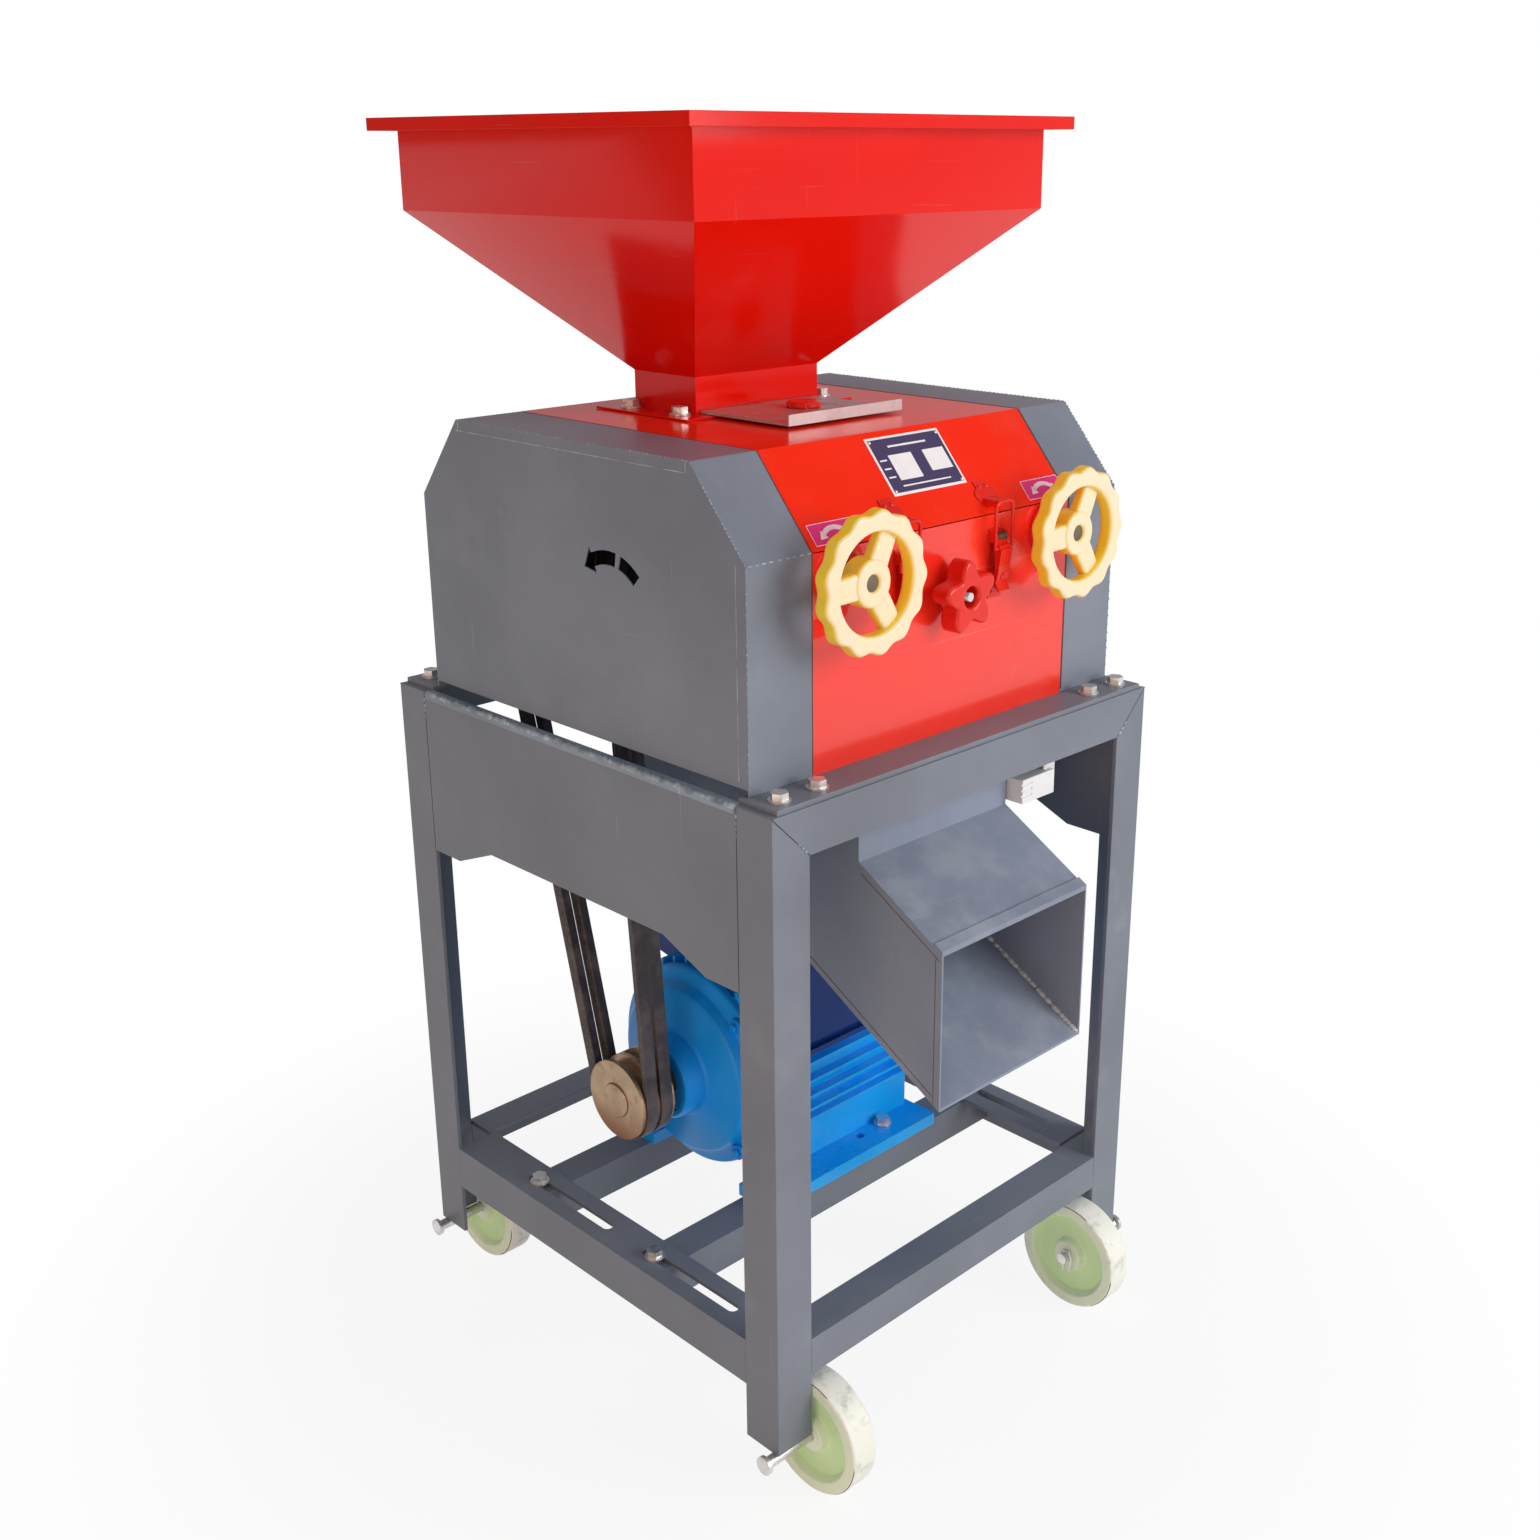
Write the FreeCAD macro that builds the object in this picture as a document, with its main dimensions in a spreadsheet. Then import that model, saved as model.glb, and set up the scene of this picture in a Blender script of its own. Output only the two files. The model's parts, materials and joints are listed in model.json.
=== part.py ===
import FreeCAD, Part
import math
import os
import Sketcher

# Two-roller grain crusher on a wheeled angle-iron stand.
# Millimetres. X runs to the right seen from the discharge side, Y to the rear, Z up from the floor.

os.makedirs("parts", exist_ok=True)
doc = FreeCAD.newDocument("GrainCrusher")
sheet = doc.addObject("Spreadsheet::Sheet", "Dims")
exported = []

# Stand
frame_width = 540
frame_depth = 570
leg_length = 655
leg_flange = 45
steel_wall = 4.5
rail_height = 110
side_rail_size = 50
cross_rail_size = 40
slot_inset = 25
slot_radius = 6
slot_length = 140

# Side panels
panel_wall = 3
panel_lip = 9
panel_ends = 178
panel_middle = 154
panel_step = 45
panel_slope = 104

# Wheels
wheel_radius = 62.5
wheel_width = 32
wheel_hub_radius = 17
wheel_rim = 13
web_recess = 9
axle_radius = 6
axle_head_radius = 9.5
axle_head_length = 4
axle_overhang = 10
axle_inset = 7
clip_wire = 1.2

# Clearances
seat_gap = 0.3
shaft_fit = 0.05
bolt_fit = 0.4

# Fasteners
bolt_radius = 5
bolt_flange_radius = 10.5
bolt_flange_thick = 2
bolt_head_radius = 8.5
bolt_head_height = 6.5
bolt_grip = 16

# Mill base
bar_thick = 5
bar_width = 48
bar_half_length = frame_width / 2 - 8
bolt_row = 19
bolt_outer = frame_width / 2 - 27
bolt_inner = frame_width / 2 - 73

# Mill shell
body_half_width = 179
body_front = frame_depth / 2 - 42
body_rear = frame_depth / 2 - 52
bend_front = body_front - 68
bend_rear = body_rear - 65
bend_low = 208
bend_high = 288
sheet_wall = 2
cover_half_width = frame_width / 2 - 13
cover_lift = 6
seam_gap = 1.2

# Mill sides
side_centre = 145
side_thick = 16

# Rollers
roller_height = 182
nip_y = 60
roller_radius = 55.5
roller_length = 256
shaft_radius = 17.5
flute_depth = 2
flute_count = 36
roller_travel = 4

# Bearings
bearing_radius = 35
block_width = 56
block_height = 60
bearing_depth = 24

# Gears
teeth_count_fixed = 26
teeth_count_moving = 30
gear_module = 4
roller_spacing = gear_module * (teeth_count_fixed + teeth_count_moving) / 2
gear_width = 22
gear_start = 163

# Belt drive
pulley_face = 210
pulley_width = 44
driven_pitch_radius = 94
driven_rim_rise = 4
motor_pitch_radius = 45
motor_rim_rise = -1
groove_pitch = 19
groove_depth = 13
groove_top = 17.6
groove_floor = 10.4
belt_top = 15.4
belt_foot = 10
belt_height = 10

# Motor
motor_y = 22
motor_height = 132
foot_spread = 196
foot_bolt_x = 99
foot_bolt_span = 178
foot_hole_span = 140
foot_end_left = 24
foot_end_right = 59
foot_inner = 26
stator_radius = 108
fin_reach = 120
bell_radius = 114
bell_face = 112
boss_radius = 44
boss_face = 150
stator_left = 92
stator_right = 150
cowl_end = 240
rail_wall = 4
motor_shaft_radius = 19
foot_thick = 14
foot_half_depth = 126

# Terminal box
box_left = 52
box_right = 85
box_front = 126
box_rear = 115
box_low_front = 41
box_low_rear = 84
box_shoulder = 144
box_top = 184
box_ledge = 6

# Hopper
hopper_y = 60
rim_width = 500
rim_depth = 476
rim_lip = 21
rim_drop = 12
rim_height = 565
taper_top = 479
neck_width = 167
neck_depth = 92
neck_height = 326
neck_y = 59
flange_side = 30
flange_front = 21
flange_rear = 26

# Feed gate
gate_width = 156
gate_thick = 3
gate_front = 111
gate_lip = 11
gate_travel = 60
knob_x = 10
knob_y = -41
knob_radius = 17.5
knob_height = 6
knob_screw = 4

# Chute
chute_half_width = 109
chute_front = body_front - 10
chute_reach = chute_front + 106
mouth_top = 162
mouth_bottom = 325
chute_kink = 101
chute_back = body_rear - 37
mouth_hem = 10
hem_thick = 3

# Adjusters
screw_radius = 6
wheel_rim_radius = 61.5
wheel_inner_radius = 47
lobe_radius = 12
lobe_circle = 53
lobe_count = 13
handwheel_depth = 16
handwheel_face = body_front + 46
handwheel_hub = 21
hub_face = body_front + 34
hub_back = body_front + 19
screw_nut_radius = 11
screw_nut_height = 4.5
cup_radius = 27
cup_depth = 10

# Star knob
star_height = 142
star_lobe = 9.5
star_circle = 25.5
star_waist = 20
star_depth = 22
star_standoff = 8
star_recess = 9.5
star_stem = 4

# Latches
latch_x = 66
latch_width = 20
latch_pivot = 186
latch_drop = 46
latch_reach = 34
latch_pin = 1.5
latch_standoff = 6.5
bail_wire = 1.3
bail_low = 176

# Hinge
hinge_radius = 5
hinge_pin = 2.5
hinge_inner = 40
hinge_middle = 80
hinge_outer = 120

# Nameplate
plate_half_width = 51
plate_wall = 1

# Rail bracket
bracket_left = 112
bracket_right = 164
bracket_low = 98
bracket_depth = 26

given = {name: value for name, value in dict(globals()).items() if type(value) in (int, float)}
for row, (alias, value) in enumerate(given.items(), start=1):
    sheet.set(f"A{row}", alias)
    sheet.set(f"B{row}", str(value))
    sheet.setAlias(f"B{row}", alias)
doc.recompute()

# Heights and planes that several pieces share.
FOOT = "(Dims.wheel_radius + Dims.axle_radius + Dims.seat_gap)"
TOP = f"({FOOT} + Dims.leg_length)"
HALF_W = "(Dims.frame_width / 2)"
HALF_D = "(Dims.frame_depth / 2)"
RAIL = f"({FOOT} + Dims.rail_height)"
BAR_TOP = f"({TOP} + Dims.bar_thick)"
PANEL_END = f"({HALF_D} - Dims.leg_flange)"
ROLL_Z = f"({TOP} + Dims.roller_height)"
FIXED_Y = "(Dims.nip_y + Dims.roller_spacing / 2)"
MOVING_Y = "(Dims.nip_y - Dims.roller_spacing / 2)"
SHELL_TOP = f"({TOP} + Dims.bend_high)"
SHELL_BEND = f"({TOP} + Dims.bend_low)"
MOTOR_BASE = f"({RAIL} - Dims.steel_wall)"
MOTOR_Z = f"({MOTOR_BASE} + Dims.motor_height)"
RAIL_FRONT_Y = "(Dims.motor_y - Dims.foot_spread / 2)"
RAIL_REAR_Y = "(Dims.motor_y + Dims.foot_spread / 2)"
BEND_SHARE = "tan(22.5)"


def number(text):
    """Value of an expression with the sheet's present numbers."""
    return float(sheet.evalExpression(text))


def body_named(name):
    body = doc.addObject("PartDesign::Body", name)
    body.Label = name
    return body


def finish(item, name):
    item.Label = name
    exported.append(item)
    return item


def bind_point(sketch, geometry, point, place):
    """Tie one sketch point to two expressions."""
    for kind, text in zip(("DistanceX", "DistanceY"), place):
        index = sketch.addConstraint(Sketcher.Constraint(kind, -1, 1, geometry, point, number(text)))
        sketch.setExpression(f"Constraints[{index}]", text)


def bind_radius(sketch, geometry, text):
    index = sketch.addConstraint(Sketcher.Constraint("Radius", geometry, number(text)))
    sketch.setExpression(f"Constraints[{index}]", text)


def draw_polygon(sketch, places):
    corners = [FreeCAD.Vector(number(a), number(b), 0) for a, b in places]
    first = sketch.GeometryCount
    count = len(corners)
    for index in range(count):
        sketch.addGeometry(Part.LineSegment(corners[index], corners[(index + 1) % count]))
    for index in range(count):
        following = first + (index + 1) % count
        sketch.addConstraint(Sketcher.Constraint("Coincident", first + index, 2, following, 1))
    for index, place in enumerate(places):
        bind_point(sketch, first + index, 1, place)


def draw_circle(sketch, across, along, radius):
    centre = FreeCAD.Vector(number(across), number(along), 0)
    index = sketch.addGeometry(Part.Circle(centre, FreeCAD.Vector(0, 0, 1), number(radius)))
    bind_point(sketch, index, 3, (across, along))
    bind_radius(sketch, index, radius)


def draw_slot(sketch, across, low, high, radius):
    """Slot with round ends that runs along the sketch's second axis."""
    x, y0, y1, r = (number(text) for text in (across, low, high, radius))
    normal = FreeCAD.Vector(0, 0, 1)
    left = sketch.addGeometry(Part.LineSegment(FreeCAD.Vector(x - r, y1, 0), FreeCAD.Vector(x - r, y0, 0)))
    bottom_circle = Part.Circle(FreeCAD.Vector(x, y0, 0), normal, r)
    bottom = sketch.addGeometry(Part.ArcOfCircle(bottom_circle, math.pi, 2 * math.pi))
    right = sketch.addGeometry(Part.LineSegment(FreeCAD.Vector(x + r, y0, 0), FreeCAD.Vector(x + r, y1, 0)))
    top_circle = Part.Circle(FreeCAD.Vector(x, y1, 0), normal, r)
    top = sketch.addGeometry(Part.ArcOfCircle(top_circle, 0, math.pi))
    for one, other in ((left, bottom), (bottom, right), (right, top), (top, left)):
        sketch.addConstraint(Sketcher.Constraint("Tangent", one, 2, other, 1))
    bind_point(sketch, bottom, 3, (across, low))
    bind_point(sketch, top, 3, (across, high))
    bind_radius(sketch, bottom, radius)
    bind_radius(sketch, top, radius)


def sketch_on(body, role, offset, loops):
    """Sketch on one of the body's own planes; offset is (right, up, along the normal)."""
    sketch = body.newObject("Sketcher::SketchObject", body.Name + "_sketch")
    plane = next(item for item in body.Origin.OriginFeatures if item.Role == role)
    sketch.AttachmentSupport = [(plane, "")]
    sketch.MapMode = "FlatFace"
    for axis, text in zip("xyz", offset):
        sketch.setExpression(f"AttachmentOffset.Base.{axis}", text)
    for loop in loops:
        if loop[0] == "circle":
            draw_circle(sketch, *loop[1:])
        elif loop[0] == "slot":
            draw_slot(sketch, *loop[1:])
        else:
            draw_polygon(sketch, loop)
    return sketch


# Plane role for each extrusion axis. The XZ plane looks towards -Y.
ROLES = {"x": "YZ_Plane", "y": "XZ_Plane", "z": "XY_Plane"}


def pad(body, axis, start, end, loops):
    offset = f"-({end})" if axis == "y" else f"({start})"
    sketch = sketch_on(body, ROLES[axis], ("0", "0", offset), loops)
    feature = body.newObject("PartDesign::Pad", body.Name + "_pad")
    feature.Profile = sketch
    feature.setExpression("Length", f"({end}) - ({start})")
    body.Tip = feature
    return feature


def pocket(body, axis, start, end, loops):
    offset = f"-({start})" if axis == "y" else f"({end})"
    sketch = sketch_on(body, ROLES[axis], ("0", "0", offset), loops)
    feature = body.newObject("PartDesign::Pocket", body.Name + "_pocket")
    feature.Profile = sketch
    feature.setExpression("Length", f"({end}) - ({start})")
    body.Tip = feature
    return feature


def turn(body, axis, centre, profile, kind="Revolution"):
    """Turn a profile of (along, radius) points about an axis through centre."""
    first, second = centre
    if axis == "x":
        place = ("XZ_Plane", ("0", second, f"-({first})"), "H_Axis")
    elif axis == "y":
        place = ("YZ_Plane", ("0", second, first), "H_Axis")
    else:
        place = ("XZ_Plane", (first, "0", f"-({second})"), "V_Axis")
        profile = [(radius, along) for along, radius in profile]
    sketch = sketch_on(body, place[0], place[1], [profile])
    feature = body.newObject("PartDesign::" + kind, body.Name + "_" + kind.lower())
    feature.Profile = sketch
    feature.ReferenceAxis = (sketch, [place[2]])
    feature.Angle = 360
    body.Tip = feature
    return feature


def rectangle(x0, x1, y0, y1):
    return [(x0, y0), (x1, y0), (x1, y1), (x0, y1)]


def plain_box(name, x0, x1, y0, y1, z0, z1):
    box = doc.addObject("Part::Box", name)
    for side, low, high in (("Length", x0, x1), ("Width", y0, y1), ("Height", z0, z1)):
        box.setExpression(side, f"({high}) - ({low})")
    for axis, low in zip("xyz", (x0, y0, z0)):
        box.setExpression(f"Placement.Base.{axis}", low)
    return box


TURNS = {"x": (FreeCAD.Vector(0, 1, 0), 90), "y": (FreeCAD.Vector(1, 0, 0), -90), "z": (FreeCAD.Vector(0, 0, 1), 0)}


def plain_cylinder(name, axis, start, radius, length):
    cylinder = doc.addObject("Part::Cylinder", name)
    cylinder.Placement.Rotation = FreeCAD.Rotation(*TURNS[axis])
    cylinder.setExpression("Radius", radius)
    cylinder.setExpression("Height", length)
    for direction, text in zip("xyz", start):
        cylinder.setExpression(f"Placement.Base.{direction}", text)
    return cylinder


def joined(name, pieces):
    fuse = doc.addObject("Part::MultiFuse", name)
    fuse.Shapes = pieces
    return fuse


def gathered(name, pieces):
    """One node that holds several separate solids."""
    group = doc.addObject("Part::Compound", name)
    group.Links = pieces
    return finish(group, name)


def signed(side, text):
    return f"{side} * ({text})"


def span(side, inner, outer):
    """Lower and upper bound of a stretch that is mirrored to the given side."""
    if side > 0:
        return inner, outer
    return f"-({outer})", f"-({inner})"


# Stand

def leg(name, side, end):
    body = body_named(name)
    face = [(signed(side, HALF_W), FOOT), (signed(side, HALF_W), TOP),
            (signed(side, f"{HALF_W} - Dims.leg_flange"), f"{TOP} - Dims.leg_flange"),
            (signed(side, f"{HALF_W} - Dims.leg_flange"), FOOT)]
    pad(body, "y", *span(end, f"{HALF_D} - Dims.steel_wall", HALF_D), [face])
    flange = rectangle(*span(side, f"{HALF_W} - Dims.steel_wall", HALF_W),
                       *span(end, PANEL_END, f"{HALF_D} - Dims.steel_wall"))
    pad(body, "z", FOOT, TOP, [flange])
    finish(body, name)


def top_rail(end):
    name = "top_rail_front_body" if end < 0 else "top_rail_rear_body"
    body = body_named(name)
    face = [(f"-{HALF_W}", TOP), (HALF_W, TOP),
            (f"{HALF_W} - Dims.leg_flange", f"{TOP} - Dims.leg_flange"),
            (f"-({HALF_W} - Dims.leg_flange)", f"{TOP} - Dims.leg_flange")]
    pad(body, "y", *span(end, f"{HALF_D} - Dims.steel_wall", HALF_D), [face])
    inner = f"{HALF_W} - Dims.steel_wall"
    flange = rectangle(f"-({inner})", inner, *span(end, PANEL_END, f"{HALF_D} - Dims.steel_wall"))
    holes = [("circle", signed(side, reach), signed(end, f"{HALF_D} - Dims.bolt_row"),
              "Dims.bolt_radius + Dims.bolt_fit") for side in (-1, 1)
             for reach in ("Dims.bolt_outer", "Dims.bolt_inner")]
    pad(body, "z", f"{TOP} - Dims.steel_wall", TOP, [flange] + holes)
    return body


def side_panel(side):
    body = body_named("side_panel_left_body" if side < 0 else "side_panel_right_body")
    half = []
    for direction in (-1, 1):
        edge = [(signed(direction, PANEL_END), TOP),
                (signed(direction, PANEL_END), f"{TOP} - Dims.panel_ends"),
                (signed(direction, f"{PANEL_END} - Dims.panel_step"), f"{TOP} - Dims.panel_ends"),
                (signed(direction, f"{PANEL_END} - Dims.panel_slope"), f"{TOP} - Dims.panel_middle")]
        half.append(edge)
    outline = half[0] + half[1][::-1]
    pad(body, "x", *span(side, f"{HALF_W} - Dims.panel_wall", HALF_W), [outline])
    lip = rectangle(*span(side, f"{HALF_W} - Dims.panel_lip", HALF_W), f"-{PANEL_END}", PANEL_END)
    pad(body, "z", f"{TOP} - Dims.panel_wall", TOP, [lip])
    return body


def bottom_side_rail(name, side):
    body = body_named(name)
    web = rectangle(f"-{PANEL_END}", PANEL_END, f"{RAIL} - Dims.side_rail_size", RAIL)
    pad(body, "x", *span(side, f"{HALF_W} - Dims.steel_wall", HALF_W), [web])
    flange = rectangle(*span(side, f"{HALF_W} - Dims.side_rail_size", HALF_W), f"-{PANEL_END}", PANEL_END)
    pad(body, "z", f"{RAIL} - Dims.steel_wall", RAIL, [flange])
    across = signed(side, f"{HALF_W} - Dims.slot_inset")
    slots = []
    for rail_y, direction in ((RAIL_FRONT_Y, -1), (RAIL_REAR_Y, -1)):
        near = f"{rail_y} + Dims.slot_radius * 1.5"
        far = f"{rail_y} - Dims.slot_length + Dims.slot_radius * 3.5"
        slots.append(("slot", across, far, near, "Dims.slot_radius"))
    pocket(body, "z", f"{RAIL} - Dims.steel_wall", RAIL, slots)
    finish(body, name)


def bottom_cross_rail(end):
    body = body_named("bottom_rail_front_body" if end < 0 else "bottom_rail_rear_body")
    half = f"({HALF_W} - Dims.leg_flange)"
    web = rectangle(f"-{half}", half, f"{RAIL} - Dims.cross_rail_size", RAIL)
    pad(body, "y", *span(end, f"{HALF_D} - Dims.steel_wall", HALF_D), [web])
    flange = rectangle(f"-{half}", half, *span(end, f"{HALF_D} - Dims.cross_rail_size", HALF_D))
    pad(body, "z", f"{RAIL} - Dims.steel_wall", RAIL, [flange])
    return body


def motor_rail(place, middle, holes_x):
    body = body_named(f"motor_rail_{place}_body")
    half = f"({HALF_W} - Dims.steel_wall - Dims.seat_gap)"
    width = "(Dims.cross_rail_size / 2)"
    flange = rectangle(f"-{half}", half, f"{middle} - {width}", f"{middle} + {width}")
    holes = [("circle", across, middle, "Dims.bolt_radius + Dims.bolt_fit") for across in holes_x]
    pad(body, "z", f"{MOTOR_BASE} - Dims.rail_wall", MOTOR_BASE, [flange] + holes)
    edge = f"({middle} - {width})"
    low = f"{MOTOR_BASE} - Dims.cross_rail_size"
    web = rectangle(f"-{half}", half, low, f"{MOTOR_BASE} - Dims.rail_wall")
    pad(body, "y", edge, f"{edge} + Dims.rail_wall", [web])
    return body


def flange_bolt(name, across, along, seat, grip="Dims.bolt_grip"):
    """Hexagon flange bolt with its head on top of the seat plane."""
    washer = plain_cylinder(name + "_flange", "z", (across, along, seat),
                            "Dims.bolt_flange_radius", "Dims.bolt_flange_thick")
    shank = plain_cylinder(name + "_shank", "z", (across, along, f"({seat}) - ({grip})"),
                           "Dims.bolt_radius", grip)
    head = doc.addObject("Part::Prism", name + "_head")
    head.Polygon = 6
    head.setExpression("Circumradius", "Dims.bolt_head_radius")
    head.setExpression("Height", "Dims.bolt_head_height")
    head.setExpression("Placement.Base.x", across)
    head.setExpression("Placement.Base.y", along)
    head.setExpression("Placement.Base.z", f"({seat}) + Dims.bolt_flange_thick")
    return joined(name, [washer, shank, head])


def build_stand():
    for side, side_name in ((-1, "left"), (1, "right")):
        for end, end_name in ((-1, "front"), (1, "rear")):
            leg(f"leg_{end_name}_{side_name}", side, end)
    gathered("top_cross_rails", [top_rail(-1), top_rail(1)])
    gathered("side_panels", [side_panel(-1), side_panel(1)])
    bottom_side_rail("bottom_rail_left", -1)
    bottom_side_rail("bottom_rail_right", 1)
    gathered("bottom_cross_rails", [bottom_cross_rail(-1), bottom_cross_rail(1)])
    slot_x = f"({HALF_W} - Dims.slot_inset)"
    first_foot = "(Dims.foot_bolt_x - Dims.foot_bolt_span)"
    holes_x = [f"-{slot_x}", first_foot, "Dims.foot_bolt_x", slot_x]
    gathered("motor_rails", [motor_rail("front", RAIL_FRONT_Y, holes_x),
                             motor_rail("rear", RAIL_REAR_Y, holes_x)])
    bolts = []
    for side in (-1, 1):
        for place, middle in (("front", RAIL_FRONT_Y), ("rear", RAIL_REAR_Y)):
            bolts.append(flange_bolt(f"rail_bolt_{place}_{side + 1}", signed(side, slot_x), middle, RAIL))
        for end in (-1, 1):
            for reach in ("outer", "inner"):
                along = signed(end, f"{HALF_D} - Dims.bolt_row")
                bolts.append(flange_bolt(f"base_bolt_{reach}_{side + 1}_{end + 1}",
                                         signed(side, f"Dims.bolt_{reach}"), along, BAR_TOP))
    seat = f"{MOTOR_BASE} + Dims.foot_thick"
    for middle, place in ((RAIL_FRONT_Y, "front"), (RAIL_REAR_Y, "rear")):
        for number_of_bolt, across in enumerate((first_foot, "Dims.foot_bolt_x")):
            bolts.append(flange_bolt(f"foot_bolt_{place}_{number_of_bolt}", across, middle, seat,
                                     "Dims.bolt_grip + Dims.foot_thick"))
    gathered("flange_bolts", bolts)


# Wheels

def road_wheel(name, side, end):
    """Moulded wheel with a recessed web on both faces."""
    body = body_named(name)
    middle = f"({HALF_W} - Dims.leg_flange - Dims.wheel_width / 2 - 2)"
    centre = (signed(end, f"{HALF_D} - Dims.axle_inset"), "Dims.wheel_radius")
    half = "Dims.wheel_width / 2"
    bore = "Dims.axle_radius + Dims.shaft_fit"
    rim_inner = "Dims.wheel_radius - Dims.wheel_rim"
    points = []
    for face in (-1, 1):
        edge = [(face, half, bore), (face, half, "Dims.wheel_hub_radius"),
                (face, f"{half} - Dims.web_recess", "Dims.wheel_hub_radius + 2"),
                (face, f"{half} - Dims.web_recess", f"{rim_inner} - 4"),
                (face, half, rim_inner), (face, half, "Dims.wheel_radius - 2"),
                (face, f"{half} - 2", "Dims.wheel_radius")]
        points.append([(f"{signed(side, middle)} + {face} * ({along})", radius) for face, along, radius in edge])
    turn(body, "x", centre, points[0] + points[1][::-1])
    finish(body, name)


def axle_pin(side, end):
    body = body_named(f"axle_{side + 1}_{end + 1}")
    centre = (signed(end, f"{HALF_D} - Dims.axle_inset"), "Dims.wheel_radius")
    head = f"({HALF_W} + Dims.axle_overhang + Dims.axle_head_length)"
    inner = f"({HALF_W} - Dims.leg_flange - Dims.wheel_width - 2 - Dims.seat_gap - 9)"
    shoulder = f"({HALF_W} + Dims.axle_overhang)"
    profile = [(inner, "0"), (inner, "Dims.axle_radius"), (shoulder, "Dims.axle_radius"),
               (shoulder, "Dims.axle_head_radius"), (head, "Dims.axle_head_radius"), (head, "0")]
    turn(body, "x", centre, [(signed(side, along), radius) for along, radius in profile])
    hole_x = signed(side, f"{HALF_W} - Dims.leg_flange - Dims.wheel_width - 7 - Dims.seat_gap")
    pocket(body, "z", "0", "Dims.wheel_radius * 2", [("circle", hole_x, centre[0], "Dims.clip_wire + 0.1")])
    return body


def retaining_clip(side, end):
    """Bent wire clip through the inner end of an axle."""
    x = signed(side, f"{HALF_W} - Dims.leg_flange - Dims.wheel_width - 7 - Dims.seat_gap")
    y = signed(end, f"{HALF_D} - Dims.axle_inset")
    z = "Dims.wheel_radius"
    reach = "(Dims.axle_radius + Dims.clip_wire + 1)"
    route = [(x, y, f"{z} - 1.9 * {reach}"), (x, y, f"{z} + {reach} + 2"),
             (x, f"{y} + {end} * 0.8 * {reach}", f"{z} + {reach} + 2"),
             (x, f"{y} + {end} * 1.3 * {reach}", f"{z} + 0.3 * {reach}"),
             (x, f"{y} + {end} * 1.1 * {reach}", f"{z} - 1.9 * {reach}")]
    clip = bent_wire(f"clip_{side + 1}_{end + 1}", route, "Dims.clip_wire")
    return clip


def build_wheels():
    axles, clips = [], []
    for side, side_name in ((-1, "left"), (1, "right")):
        for end, end_name in ((-1, "front"), (1, "rear")):
            road_wheel(f"wheel_{end_name}_{side_name}", side, end)
            axles.append(axle_pin(side, end))
            clips.append(retaining_clip(side, end))
    gathered("axle_pins", axles)
    gathered("retaining_clips", clips)


# Mill shell

def shell_outline(inset, low):
    """Half an octagon seen from the side: front bend, top and rear bend."""
    share = f"{BEND_SHARE} * ({inset})"
    return [(f"-(Dims.body_front - ({inset}))", low),
            (f"-(Dims.body_front - ({inset}))", f"{SHELL_BEND} - {share}"),
            (f"-(Dims.bend_front - {share})", f"{SHELL_TOP} - ({inset})"),
            (f"Dims.bend_rear - {share}", f"{SHELL_TOP} - ({inset})"),
            (f"Dims.body_rear - ({inset})", f"{SHELL_BEND} - {share}"),
            (f"Dims.body_rear - ({inset})", low)]


def build_base_bars():
    bars = []
    for end in (-1, 1):
        body = body_named("base_bar_front_body" if end < 0 else "base_bar_rear_body")
        bar = rectangle("-Dims.bar_half_length", "Dims.bar_half_length",
                        *span(end, f"{HALF_D} - 2 - Dims.bar_width", f"{HALF_D} - 2"))
        holes = [("circle", signed(side, reach), signed(end, f"{HALF_D} - Dims.bolt_row"),
                  "Dims.bolt_radius + Dims.bolt_fit") for side in (-1, 1)
                 for reach in ("Dims.bolt_outer", "Dims.bolt_inner")]
        pad(body, "z", TOP, BAR_TOP, [bar] + holes)
        bars.append(body)
    gathered("base_bars", bars)


def mill_side(name, side):
    """Bearing plate with a round seat for the fixed roller and a guide window for the moving one."""
    body = body_named(name)
    inner = "Dims.side_centre - Dims.side_thick / 2"
    outer = "Dims.side_centre + Dims.side_thick / 2"
    inset = "Dims.sheet_wall + Dims.seat_gap"
    outline = shell_outline(inset, BAR_TOP)
    outline[0] = ("-(Dims.body_front - Dims.sheet_wall)", BAR_TOP)
    outline[1] = ("-(Dims.body_front - Dims.sheet_wall)", f"{SHELL_BEND} - 4")
    outline[4] = ("Dims.body_rear - Dims.sheet_wall", f"{SHELL_BEND} - 4")
    outline[5] = ("Dims.body_rear - Dims.sheet_wall", BAR_TOP)
    pad(body, "x", *span(side, inner, outer), [outline])
    half = "(Dims.block_width / 2)"
    window = rectangle(f"{MOVING_Y} - {half} - Dims.roller_travel - Dims.seat_gap",
                       f"{MOVING_Y} + {half} + Dims.seat_gap",
                       f"{ROLL_Z} - Dims.block_height / 2 - Dims.seat_gap",
                       f"{ROLL_Z} + Dims.block_height / 2 + Dims.seat_gap")
    seat = ("circle", FIXED_Y, ROLL_Z, "Dims.bearing_radius + Dims.shaft_fit")
    pocket(body, "x", *span(side, inner, outer), [window, seat])
    screw = ("circle", signed(side, "Dims.side_centre"), ROLL_Z, "Dims.screw_radius + 1")
    pocket(body, "y", "-Dims.body_front", f"{MOVING_Y} - {half}", [screw])
    finish(body, name)


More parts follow.
